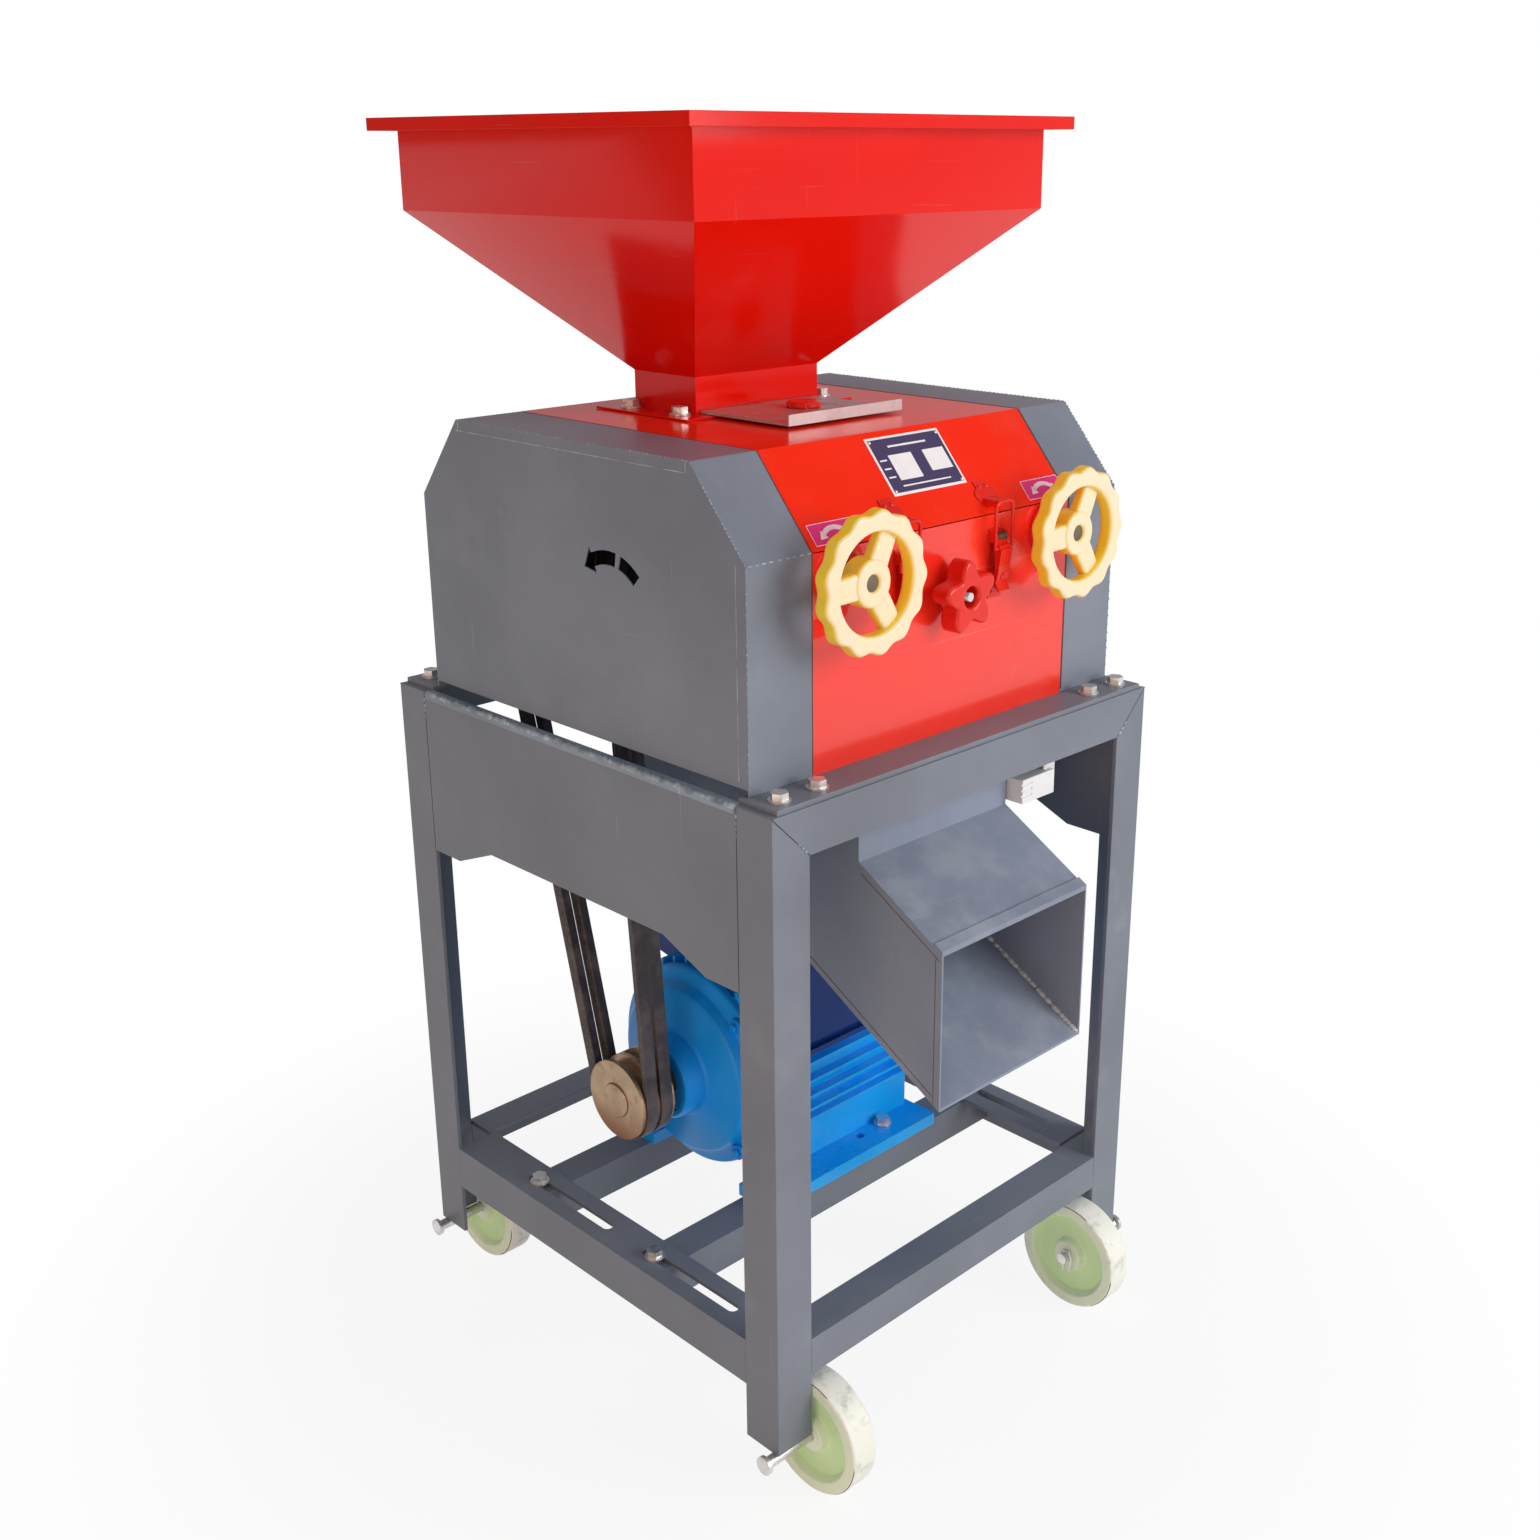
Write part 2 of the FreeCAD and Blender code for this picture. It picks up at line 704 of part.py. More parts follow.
def build_panels():
    side = "Dims.body_half_width"
    front = body_named("front_panel")
    sheet_face = rectangle(f"-{side}", side, BAR_TOP, f"{SHELL_BEND} - Dims.seam_gap")
    holes = [("circle", signed(hand, "Dims.side_centre"), ROLL_Z, "Dims.screw_radius + 1") for hand in (-1, 1)]
    holes.append(("circle", "0", f"{TOP} + Dims.star_height", "Dims.star_stem + Dims.shaft_fit"))
    pad(front, "y", "-Dims.body_front", "-(Dims.body_front - Dims.sheet_wall)", [sheet_face] + holes)
    finish(front, "front_panel")

    rear = body_named("rear_panel")
    pad(rear, "y", "Dims.body_rear - Dims.sheet_wall", "Dims.body_rear", [sheet_face])
    hinge_knuckles(rear, "Dims.hinge_middle + Dims.seat_gap", "Dims.hinge_outer", False)
    finish(rear, "rear_panel")


def hinge_knuckles(body, inner, outer, on_hood):
    """Two hinge leaves with barrels at the rear edge of the hood or of the rear panel."""
    centre_y = "(Dims.body_rear + Dims.hinge_radius + Dims.seat_gap)"
    if on_hood:
        rise = "(Dims.bend_high - Dims.bend_low)"
        run = "(Dims.body_rear - Dims.bend_rear)"
        leaf = [("Dims.body_rear - 0.5", f"{SHELL_BEND} + 0.6"),
                (f"Dims.body_rear - 0.3 * {run}", f"{SHELL_BEND} + 0.3 * {rise}"),
                (f"Dims.body_rear - 0.3 * {run} + 1.5", f"{SHELL_BEND} + 0.3 * {rise} + 1.5"),
                ("Dims.body_rear + 3", f"{SHELL_BEND} + 4")]
    else:
        leaf = rectangle("Dims.body_rear", "Dims.body_rear + 2", f"{SHELL_BEND} - 30", f"{SHELL_BEND} - 2")
    for side in (-1, 1):
        bounds = span(side, inner, outer)
        pad(body, "x", *bounds, [leaf])
        pad(body, "x", *bounds, [("circle", centre_y, SHELL_BEND, "Dims.hinge_radius")])
        bore = ("circle", centre_y, SHELL_BEND, "Dims.hinge_pin + Dims.shaft_fit")
        pocket(body, "x", *bounds, [bore])


def build_hood():
    body = body_named("hood")
    outer = shell_outline("0", SHELL_BEND)[1:5]
    inner = shell_outline("Dims.sheet_wall", SHELL_BEND)[1:5]
    half = "(Dims.body_half_width - Dims.seat_gap)"
    pad(body, "x", f"-{half}", half, [outer + inner[::-1]])
    neck_x = "(Dims.neck_width / 2 - Dims.sheet_wall)"
    reach = "(Dims.neck_depth / 2 - Dims.sheet_wall)"
    feed = rectangle(f"-{neck_x}", neck_x, f"Dims.neck_y - {reach}", f"Dims.neck_y + {reach}")
    bolt_holes = [("circle", across, along, "Dims.bolt_radius + Dims.bolt_fit")
                  for across, along in hopper_bolt_places()]
    pocket(body, "z", f"{SHELL_TOP} - Dims.sheet_wall", SHELL_TOP, [feed] + bolt_holes)
    hinge_knuckles(body, "Dims.hinge_inner", "Dims.hinge_middle", True)
    finish(body, "hood")

    pins = []
    centre_y = "(Dims.body_rear + Dims.hinge_radius + Dims.seat_gap)"
    length = "Dims.hinge_outer - Dims.hinge_inner"
    for start in ("-Dims.hinge_outer", "Dims.hinge_inner"):
        pins.append(plain_cylinder("hinge_pin", "x", (start, centre_y, SHELL_BEND), "Dims.hinge_pin", length))
    gathered("hood_hinge_pins", pins)


def side_cover(name, side):
    """Folded guard over the belt or the gears, open below and towards the mill."""
    body = body_named(name)
    inner = "Dims.body_half_width + Dims.seat_gap"
    outer = "Dims.cover_half_width"
    pad(body, "x", *span(side, inner, outer), [shell_outline("0", BAR_TOP)])
    hollow = shell_outline("Dims.sheet_wall", f"{BAR_TOP} - 1")
    pocket(body, "x", *span(side, inner, f"{outer} - Dims.sheet_wall"), [hollow])
    if side < 0:
        sheet_bounds = span(side, f"{outer} - Dims.sheet_wall", outer)
        pocket(body, "x", *sheet_bounds, arrow_cutouts())
        gap = rectangle("-(Dims.body_front - Dims.sheet_wall)", "Dims.body_rear - Dims.sheet_wall",
                        f"{BAR_TOP} - 1", f"{BAR_TOP} + Dims.cover_lift")
        pocket(body, "x", *sheet_bounds, [gap])
    finish(body, name)


def arrow_cutouts():
    """Curved turning arrow in two cut-outs with a bridge between them."""
    centre_y, centre_z, radius, band = -61, 132, 62, 13

    def place(angle, distance):
        across = f"{centre_y} + {distance} * cos({angle})"
        return across, f"{TOP} + {centre_z} + {distance} * sin({angle})"

    def arc(start, stop, distance):
        steps = 4
        return [place(start + (stop - start) * step / steps, distance) for step in range(steps + 1)]

    tail = arc(134, 106, radius) + arc(106, 134, radius - band)
    head = [place(66, radius + 6), place(50, radius - band / 2), place(66, radius - band - 6)]
    shaft = arc(100, 66, radius) + head
    return [tail, shaft + arc(66, 100, radius - band)]


def build_shell():
    build_base_bars()
    mill_side("mill_side_left", -1)
    mill_side("mill_side_right", 1)
    build_panels()
    build_hood()
    side_cover("belt_cover", -1)
    side_cover("gear_cover", 1)


# Rollers, bearings and gears

def toothed_face(count, root, tip, tooth_share, tip_share, turn_angle=0.0):
    """Face with straight-sided teeth; shares are parts of one tooth pitch."""
    points = []
    pitch = 2 * math.pi / count
    for tooth in range(count):
        middle = tooth * pitch + turn_angle
        for radius, offset in ((root, -tooth_share), (tip, -tip_share), (tip, tip_share), (root, tooth_share)):
            angle = middle + offset * pitch / 2
            points.append(FreeCAD.Vector(0, radius * math.cos(angle), radius * math.sin(angle)))
    return Part.Face(Part.makePolygon(points + points[:1]))


def bent_wire(name, route, radius):
    """Round wire swept along straight stretches with mitred bends."""
    points = [FreeCAD.Vector(*(number(text) for text in place)) for place in route]
    path = Part.makePolygon(points)
    section = Part.Wire(Part.makeCircle(number(radius), points[0], points[1] - points[0]))
    wire = doc.addObject("Part::Feature", name)
    wire.Shape = path.makePipeShell([section], True, True, 1)
    return wire


def along_x(start, end, radius):
    return Part.makeCylinder(radius, end - start, FreeCAD.Vector(start, 0, 0), FreeCAD.Vector(1, 0, 0))


def roller(name, along, left_end, right_end):
    """Fluted roller and its shaft in one piece."""
    radius = number("Dims.roller_radius")
    half = number("Dims.roller_length / 2")
    depth = number("Dims.flute_depth")
    drum = toothed_face(int(number("Dims.flute_count")), radius - depth, radius, 0.9, 0.35)
    drum = drum.extrude(FreeCAD.Vector(2 * half, 0, 0))
    drum.translate(FreeCAD.Vector(-half, 0, 0))
    shaft = along_x(-number(left_end), number(right_end), number("Dims.shaft_radius"))
    shape = drum.fuse(shaft).removeSplitter()
    piece = doc.addObject("Part::Feature", name)
    piece.Shape = shape
    piece.setExpression("Placement.Base.y", along)
    piece.setExpression("Placement.Base.z", ROLL_Z)
    return finish(piece, name)


def gear(name, along, teeth, turn_angle):
    count = int(number(teeth))
    module = number("Dims.gear_module")
    pitch_radius = count * module / 2
    face = toothed_face(count, pitch_radius - 1.2 * module, pitch_radius + 0.75 * module, 0.8, 0.22, turn_angle)
    width = number("Dims.gear_width")
    start = number("Dims.gear_start")
    solid = face.extrude(FreeCAD.Vector(width, 0, 0))
    solid.translate(FreeCAD.Vector(start, 0, 0))
    bore = along_x(start - 1, start + width + 1, number("Dims.shaft_radius"))
    piece = doc.addObject("Part::Feature", name)
    piece.Shape = solid.cut(bore)
    piece.setExpression("Placement.Base.y", along)
    piece.setExpression("Placement.Base.z", ROLL_Z)
    return finish(piece, name)


def build_rollers():
    gear_end = "Dims.gear_start + Dims.gear_width + 3"
    side_end = "Dims.side_centre + Dims.side_thick / 2 + 4"
    roller("fixed_roller", FIXED_Y, "Dims.pulley_face", gear_end)
    roller("adjustable_roller", MOVING_Y, side_end, gear_end)
    half_pitch = math.pi / number("Dims.teeth_count_moving")
    gear("fixed_roller_gear", FIXED_Y, "Dims.teeth_count_fixed", 0.0)
    gear("adjustable_roller_gear", MOVING_Y, "Dims.teeth_count_moving", half_pitch)

    seats, blocks = [], []
    low = "Dims.side_centre - Dims.bearing_depth / 2"
    high = "Dims.side_centre + Dims.bearing_depth / 2"
    bore = "Dims.shaft_radius + Dims.shaft_fit"
    for side in (-1, 1):
        seat = body_named(f"fixed_bearing_{side + 1}")
        ring = [("circle", FIXED_Y, ROLL_Z, "Dims.bearing_radius"), ("circle", FIXED_Y, ROLL_Z, bore)]
        pad(seat, "x", *span(side, low, high), [ring[0], ring[1]])
        seats.append(seat)
        block = body_named(f"sliding_block_{side + 1}")
        half = "(Dims.block_width / 2)"
        tall = "(Dims.block_height / 2)"
        face = rectangle(f"{MOVING_Y} - {half}", f"{MOVING_Y} + {half}",
                         f"{ROLL_Z} - {tall}", f"{ROLL_Z} + {tall}")
        pad(block, "x", *span(side, low, high), [face, ("circle", MOVING_Y, ROLL_Z, bore)])
        thread = ("circle", signed(side, "Dims.side_centre"), ROLL_Z, "Dims.screw_radius + Dims.shaft_fit")
        pocket(block, "y", f"{MOVING_Y} - {half}", f"{MOVING_Y} - Dims.shaft_radius - 1", [thread])
        blocks.append(block)
    gathered("fixed_bearings", seats)
    gathered("sliding_bearing_blocks", blocks)


# Belt drive

def grooved_pulley(name, centre, pitch_radius, rim_rise, bore):
    body = body_named(name)
    start = "(-Dims.pulley_face)"
    end = "(-Dims.pulley_face + Dims.pulley_width)"
    rim = f"({pitch_radius} + {rim_rise})"
    floor = f"({pitch_radius} + Dims.driven_rim_rise - Dims.groove_depth)"
    spread = f"(Dims.groove_top - Dims.groove_floor) * ({rim} - {floor}) / Dims.groove_depth"
    mouth = f"(Dims.groove_floor + {spread}) / 2"
    profile = [(start, bore), (start, rim)]
    for groove in (0, 1):
        middle = f"({start} + Dims.pulley_width / 2 + ({groove} - 0.5) * Dims.groove_pitch)"
        profile += [(f"{middle} - {mouth}", rim), (f"{middle} - Dims.groove_floor / 2", floor),
                    (f"{middle} + Dims.groove_floor / 2", floor), (f"{middle} + {mouth}", rim)]
    profile += [(end, rim), (end, bore)]
    turn(body, "x", centre, profile)
    return body


def belt(groove):
    """V-belt swept round both pulleys, a clearance above the groove floor."""
    big = number("Dims.driven_pitch_radius + Dims.driven_rim_rise - Dims.groove_depth") + 0.8
    small = number("Dims.motor_pitch_radius + Dims.driven_rim_rise - Dims.groove_depth") + 0.8
    top = FreeCAD.Vector(0, number(FIXED_Y), number(ROLL_Z))
    low = FreeCAD.Vector(0, number("Dims.motor_y"), number(MOTOR_Z))
    across = top - low
    lean = math.asin((big - small) / across.Length)
    base = math.atan2(across.z, across.y)
    x = number(f"Dims.pulley_width / 2 - Dims.pulley_face + {groove - 0.5} * Dims.groove_pitch")

    def on_circle(centre, radius, angle):
        return FreeCAD.Vector(x, centre.y + radius * math.cos(angle), centre.z + radius * math.sin(angle))

    front, rear = base - math.pi / 2 - lean, base + math.pi / 2 + lean
    path = Part.Wire([
        Part.makeLine(on_circle(low, small, front), on_circle(top, big, front)),
        Part.Arc(on_circle(top, big, front), on_circle(top, big, base), on_circle(top, big, rear)).toShape(),
        Part.makeLine(on_circle(top, big, rear), on_circle(low, small, rear)),
        Part.Arc(on_circle(low, small, rear), on_circle(low, small, base + math.pi),
                 on_circle(low, small, front)).toShape()])
    start = on_circle(low, small, front)
    outward = on_circle(low, small + 1, front) - start
    foot = number("Dims.belt_foot / 2")
    crown = number("Dims.belt_top / 2")
    height = number("Dims.belt_height")
    side = FreeCAD.Vector(1, 0, 0)
    corners = [start - side * foot, start + side * foot,
               start + side * crown + outward * height, start - side * crown + outward * height]
    section = Part.makePolygon(corners + corners[:1])
    piece = doc.addObject("Part::Feature", f"belt_{groove}")
    piece.Shape = path.makePipeShell([section], True, True)
    return piece


def build_belt_drive():
    driven = grooved_pulley("driven_pulley", (FIXED_Y, ROLL_Z), "Dims.driven_pitch_radius",
                            "Dims.driven_rim_rise", "Dims.shaft_radius")
    web = [("circle", FIXED_Y, ROLL_Z, "Dims.driven_pitch_radius - 16"), ("circle", FIXED_Y, ROLL_Z, "34")]
    face = "(-Dims.pulley_face)"
    pocket(driven, "x", face, f"{face} + 14", web)
    finish(driven, "driven_pulley")
    small = grooved_pulley("motor_pulley", ("Dims.motor_y", MOTOR_Z), "Dims.motor_pitch_radius",
                           "Dims.motor_rim_rise", "Dims.motor_shaft_radius")
    finish(small, "motor_pulley")
    gathered("drive_belts", [belt(0), belt(1)])


# Motor

def build_motor():
    centre = ("Dims.motor_y", MOTOR_Z)
    body = body_named("motor_body")
    left, right = "(-Dims.stator_left)", "Dims.stator_right"
    bore = "Dims.stator_radius - 10"
    turn(body, "x", centre, [(left, bore), (left, "Dims.stator_radius"),
                             (right, "Dims.stator_radius"), (right, bore)])
    for step in range(-3, 4):
        away = abs(step) * 20
        inner = f"sqrt(Dims.stator_radius * Dims.stator_radius - {away * away}) - 4"
        outer = f"sqrt(Dims.fin_reach * Dims.fin_reach - {away * away})"
        height = f"{MOTOR_Z} + {step * 20}"
        for side in (-1, 1):
            low, high = span(side, inner, outer)
            fin = rectangle(f"Dims.motor_y + {low}", f"Dims.motor_y + {high}",
                            f"{height} - 1.75", f"{height} + 1.75")
            pad(body, "x", left, right, [fin])
        across = f"Dims.motor_y + {step * 20}"
        fin = rectangle(f"{across} - 1.75", f"{across} + 1.75", f"{MOTOR_Z} + {inner}", f"{MOTOR_Z} + {outer}")
        pad(body, "x", left, right, [fin])
    foot_left = "(Dims.foot_bolt_x - Dims.foot_bolt_span - Dims.foot_end_left)"
    foot_right = "(Dims.foot_bolt_x + Dims.foot_end_right)"
    for side in (-1, 1):
        low, high = span(side, "Dims.foot_spread / 2 - Dims.foot_inner", "Dims.foot_half_depth")
        outline = rectangle(foot_left, foot_right, f"Dims.motor_y + {low}", f"Dims.motor_y + {high}")
        bolt_y = f"Dims.motor_y + {signed(side, 'Dims.foot_spread / 2')}"
        places = ("Dims.foot_bolt_x - Dims.foot_bolt_span", "Dims.foot_bolt_x",
                  "Dims.foot_bolt_x - Dims.foot_bolt_span + Dims.foot_hole_span")
        holes = [("circle", across, bolt_y, "Dims.bolt_radius + Dims.bolt_fit") for across in places]
        pad(body, "z", MOTOR_BASE, f"{MOTOR_BASE} + Dims.foot_thick", [outline] + holes)
        web_low, web_high = span(side, "78", "Dims.foot_spread / 2 - 12")
        web = rectangle(f"Dims.motor_y + {web_low}", f"Dims.motor_y + {web_high}",
                        f"{MOTOR_BASE}", f"{MOTOR_Z} - 66")
        pad(body, "x", left, right, [web])
    finish(body, "motor_body")

    bells = []
    drive = body_named("drive_end_bell")
    gap = "Dims.seat_gap"
    shaft_hole = "(Dims.motor_shaft_radius + Dims.shaft_fit)"
    turn(drive, "x", centre, [
        ("-Dims.boss_face", shaft_hole), ("-Dims.boss_face", "Dims.boss_radius - 4"),
        ("-(Dims.boss_face - 4)", "Dims.boss_radius"), ("-(Dims.bell_face + 12)", "Dims.boss_radius + 4"),
        ("-Dims.bell_face", "Dims.boss_radius + 24"), ("-Dims.bell_face", "Dims.bell_radius - 14"),
        ("-(Dims.bell_face - 9)", "Dims.bell_radius"), ("-Dims.stator_left", "Dims.bell_radius"),
        ("-Dims.stator_left", shaft_hole)])
    bells.append(drive)
    rear = body_named("fan_end_bell")
    turn(rear, "x", centre, [
        ("Dims.stator_right", shaft_hole), ("Dims.stator_right", "Dims.bell_radius"),
        ("Dims.stator_right + 10", "Dims.bell_radius"), ("Dims.stator_right + 18", "Dims.bell_radius - 12"),
        ("Dims.stator_right + 26", shaft_hole)])
    bells.append(rear)
    gathered("motor_end_bells", bells)

    shaft = body_named("motor_shaft")
    fan_end = "(Dims.cowl_end - 14)"
    turn(shaft, "x", centre, [
        ("-(Dims.pulley_face + 2)", "0"), ("-(Dims.pulley_face + 2)", "Dims.motor_shaft_radius - 1"),
        ("-(Dims.pulley_face + 1)", "Dims.motor_shaft_radius"), ("-(Dims.stator_left - 6)", "Dims.motor_shaft_radius"),
        ("-(Dims.stator_left - 6)", "90"), ("Dims.stator_right - 6", "90"),
        ("Dims.stator_right - 6", "Dims.motor_shaft_radius"), (fan_end, "Dims.motor_shaft_radius"), (fan_end, "0")])
    finish(shaft, "motor_rotor")

    fan = body_named("motor_fan")
    fan_start = "(Dims.stator_right + 32)"
    turn(fan, "x", centre, [(fan_start, "Dims.motor_shaft_radius"), (fan_start, "88"), (f"{fan_start} + 3", "88"),
                            (f"{fan_start} + 6", "34"), (f"{fan_start} + 30", "30"),
                            (f"{fan_start} + 30", "Dims.motor_shaft_radius")])
    for blade in range(6):
        angle = blade * 60
        vane = []
        for radius, offset in ((29, -1.5), (86, -1.5), (86, 1.5), (29, 1.5)):
            across = f"Dims.motor_y + {radius} * cos({angle}) - {offset} * sin({angle})"
            vane.append((across, f"{MOTOR_Z} + {radius} * sin({angle}) + {offset} * cos({angle})"))
        pad(fan, "x", f"{fan_start} + 1", f"{fan_start} + 28", [vane])
    finish(fan, "motor_fan")

    cowl = body_named("fan_cowl")
    start = "(Dims.stator_right + 4)"
    outer = "(Dims.bell_radius + 2.3)"
    turn(cowl, "x", centre, [
        (start, f"{outer} - 2"), (start, outer), ("Dims.cowl_end - 16", outer), ("Dims.cowl_end", f"{outer} - 18"),
        ("Dims.cowl_end", "26"), ("Dims.cowl_end - 2", "26"), ("Dims.cowl_end - 2", f"{outer} - 19.5"),
        ("Dims.cowl_end - 17", f"{outer} - 2")])
    slots = []
    for spoke in range(8):
        angle = spoke * 45
        vent = []
        for radius, offset in ((38, -7), (86, -14), (86, 14), (38, 7)):
            across = f"Dims.motor_y + {radius} * cos({angle}) - {offset} * sin({angle})"
            vent.append((across, f"{MOTOR_Z} + {radius} * sin({angle}) + {offset} * cos({angle})"))
        slots.append(vent)
    pocket(cowl, "x", "Dims.cowl_end - 3", "Dims.cowl_end + 1", slots)
    finish(cowl, "fan_cowl")

    box = body_named("terminal_box")
    ends = ("-Dims.box_left", "Dims.box_right")
    front, rear = "(Dims.motor_y - Dims.box_front)", "(Dims.motor_y + Dims.box_rear)"
    slant = "(Dims.box_top - Dims.box_shoulder)"
    low_front, low_rear = f"{MOTOR_Z} + Dims.box_low_front", f"{MOTOR_Z} + Dims.box_low_rear"
    shoulder, high = f"{MOTOR_Z} + Dims.box_shoulder", f"{MOTOR_Z} + Dims.box_top"
    pad(box, "x", *ends, [[(front, low_front), (rear, low_rear), (rear, shoulder), (f"{rear} - {slant}", high),
                           (f"{front} + {slant}", high), (front, shoulder)]])
    ledge = rectangle(f"{front} - Dims.box_ledge", f"{front} + 1", low_front, f"{low_front} + Dims.box_ledge")
    pad(box, "x", *ends, [ledge])
    pocket(box, "x", "-Dims.box_left - 1", "Dims.box_right + 1", [("circle", *centre, "Dims.fin_reach + 1")])
    pad(box, "x", "-Dims.box_left - 14", "-Dims.box_left", [("circle", "Dims.motor_y + 34", shoulder, "11")])
    finish(box, "terminal_box")


# Hopper and feed gate

def hopper_bolt_places():
    across = "(Dims.neck_width / 2 + 13)"
    along = "(Dims.neck_depth / 2 - 9)"
    return [(signed(side, across), f"Dims.neck_y + {signed(end, along)}") for side in (-1, 1) for end in (-1, 1)]


def hopper_solid(name, inset, floor_drop, rim_rise):
    """Neck, taper and box: the space that the profile across and the profile along have in common."""
    low, high = f"{SHELL_TOP} + Dims.seat_gap - {floor_drop}", f"{TOP} + Dims.rim_height + {rim_rise}"
    neck_end, taper_end = f"{TOP} + Dims.neck_height", f"{TOP} + Dims.taper_top"
    profiles = []
    for direction, neck_middle, box_middle, neck, box in (
            ("y", "0", "0", "Dims.neck_width", "Dims.rim_width"),
            ("x", "Dims.neck_y", "Dims.hopper_y", "Dims.neck_depth", "Dims.rim_depth")):
        neck_half = f"({neck} / 2 - {inset})"
        box_half = f"({box} / 2 - Dims.rim_lip - {inset})"
        side = [(neck_middle, neck_half, low), (neck_middle, neck_half, neck_end),
                (box_middle, box_half, taper_end), (box_middle, box_half, high)]
        outline = [(f"{middle} + {half}", height) for middle, half, height in side]
        outline += [(f"{middle} - {half}", height) for middle, half, height in side[::-1]]
        profile = body_named(f"{name}_profile_{direction}")
        pad(profile, direction, "-Dims.frame_depth", "Dims.frame_depth", [outline])
        profiles.append(profile)
    shape = doc.addObject("Part::Common", name)
    shape.Base, shape.Tool = profiles
    return shape


def build_hopper():
    wall = "Dims.sheet_wall"
    half_x, half_y = "Dims.rim_width / 2", "Dims.rim_depth / 2"
    high = f"{TOP} + Dims.rim_height"
    lip = plain_box("rim_lip", f"-{half_x}", half_x, f"Dims.hopper_y - {half_y}", f"Dims.hopper_y + {half_y}",
                    f"{high} - Dims.rim_drop", high)
    under = plain_box("rim_hollow", f"-{half_x} + {wall}", f"{half_x} - {wall}",
                      f"Dims.hopper_y - {half_y} + {wall}", f"Dims.hopper_y + {half_y} - {wall}",
                      f"{high} - Dims.rim_drop - 1", f"{high} - {wall}")
    folded = doc.addObject("Part::Cut", "rim_fold")
    folded.Base, folded.Tool = lip, under
    reach_x = "(Dims.neck_width / 2 + Dims.flange_side)"
    front = "(Dims.neck_y - Dims.neck_depth / 2 - Dims.flange_front)"
    rear = "(Dims.neck_y + Dims.neck_depth / 2 + Dims.flange_rear)"
    seat = f"{SHELL_TOP} + Dims.seat_gap"
    flange = plain_box("hopper_flange", f"-{reach_x}", reach_x, front, rear, seat, f"{seat} + {wall}")
    outer = hopper_solid("hopper_outer", "0", "0", "0")
    inner = hopper_solid("hopper_inner", "Dims.sheet_wall", "1", "1")
    whole = joined("hopper_whole", [outer, folded, flange])
    gate_half = "(Dims.gate_width / 2 + 1)"
    gate_low = f"{seat} + {wall}"
    mouth = plain_box("gate_mouth", f"-{gate_half}", gate_half, f"{front} - 1",
                      "Dims.neck_y - Dims.neck_depth / 2 + Dims.sheet_wall + 1",
                      gate_low, f"{gate_low} + Dims.gate_thick + 2 * Dims.seat_gap")
    holes = [plain_cylinder("hopper_hole", "z", (across, along, f"{seat} - 1"),
                            "Dims.bolt_radius + Dims.bolt_fit", f"{wall} + 2")
             for across, along in hopper_bolt_places()]
    tools = joined("hopper_tools", [inner, mouth] + holes)
    hopper = doc.addObject("Part::Cut", "hopper")
    hopper.Base, hopper.Tool = whole, tools
    finish(hopper, "hopper")

    bolts = [flange_bolt(f"hopper_bolt_{index}", across, along, f"{seat} + {wall}", "8")
             for index, (across, along) in enumerate(hopper_bolt_places())]
    gathered("hopper_bolts", bolts)

    gate = body_named("feed_gate")
    low = f"({gate_low} + Dims.seat_gap)"
    half = "(Dims.gate_width / 2)"
    plate_front = "(-Dims.gate_front)"
    plate_rear = "(Dims.neck_y + Dims.neck_depth / 2 - Dims.sheet_wall - Dims.seat_gap)"
    hole = ("circle", "Dims.knob_x", "Dims.knob_y", "Dims.knob_screw + Dims.shaft_fit")
    pad(gate, "z", low, f"{low} + Dims.gate_thick", [rectangle(f"-{half}", half, plate_front, plate_rear), hole])
    pad(gate, "y", plate_front, f"{plate_front} + Dims.gate_thick",
        [rectangle(f"-{half}", half, low, f"{low} + Dims.gate_lip")])
    finish(gate, "feed_gate")

    knob = body_named("gate_knob")
    seat_knob = f"({low} + Dims.gate_thick + Dims.seat_gap)"
    tip = f"({SHELL_TOP} + Dims.seat_gap)"
    turn(knob, "z", ("Dims.knob_x", "Dims.knob_y"), [
        (tip, "0"), (tip, "Dims.knob_screw"), (seat_knob, "Dims.knob_screw"),
        (seat_knob, "Dims.knob_radius - 1"), (f"{seat_knob} + 1", "Dims.knob_radius"),
        (f"{seat_knob} + Dims.knob_height - 2", "Dims.knob_radius"),
        (f"{seat_knob} + Dims.knob_height", "Dims.knob_radius - 2"), (f"{seat_knob} + Dims.knob_height", "0")])
    grips = [("circle", f"Dims.knob_x + (Dims.knob_radius + 1.5) * cos({angle})",
              f"Dims.knob_y + (Dims.knob_radius + 1.5) * sin({angle})", "3") for angle in range(0, 360, 60)]
    pocket(knob, "z", f"{seat_knob} - 1", f"{seat_knob} + Dims.knob_height + 1", grips)
    finish(knob, "gate_knob")


# Discharge chute

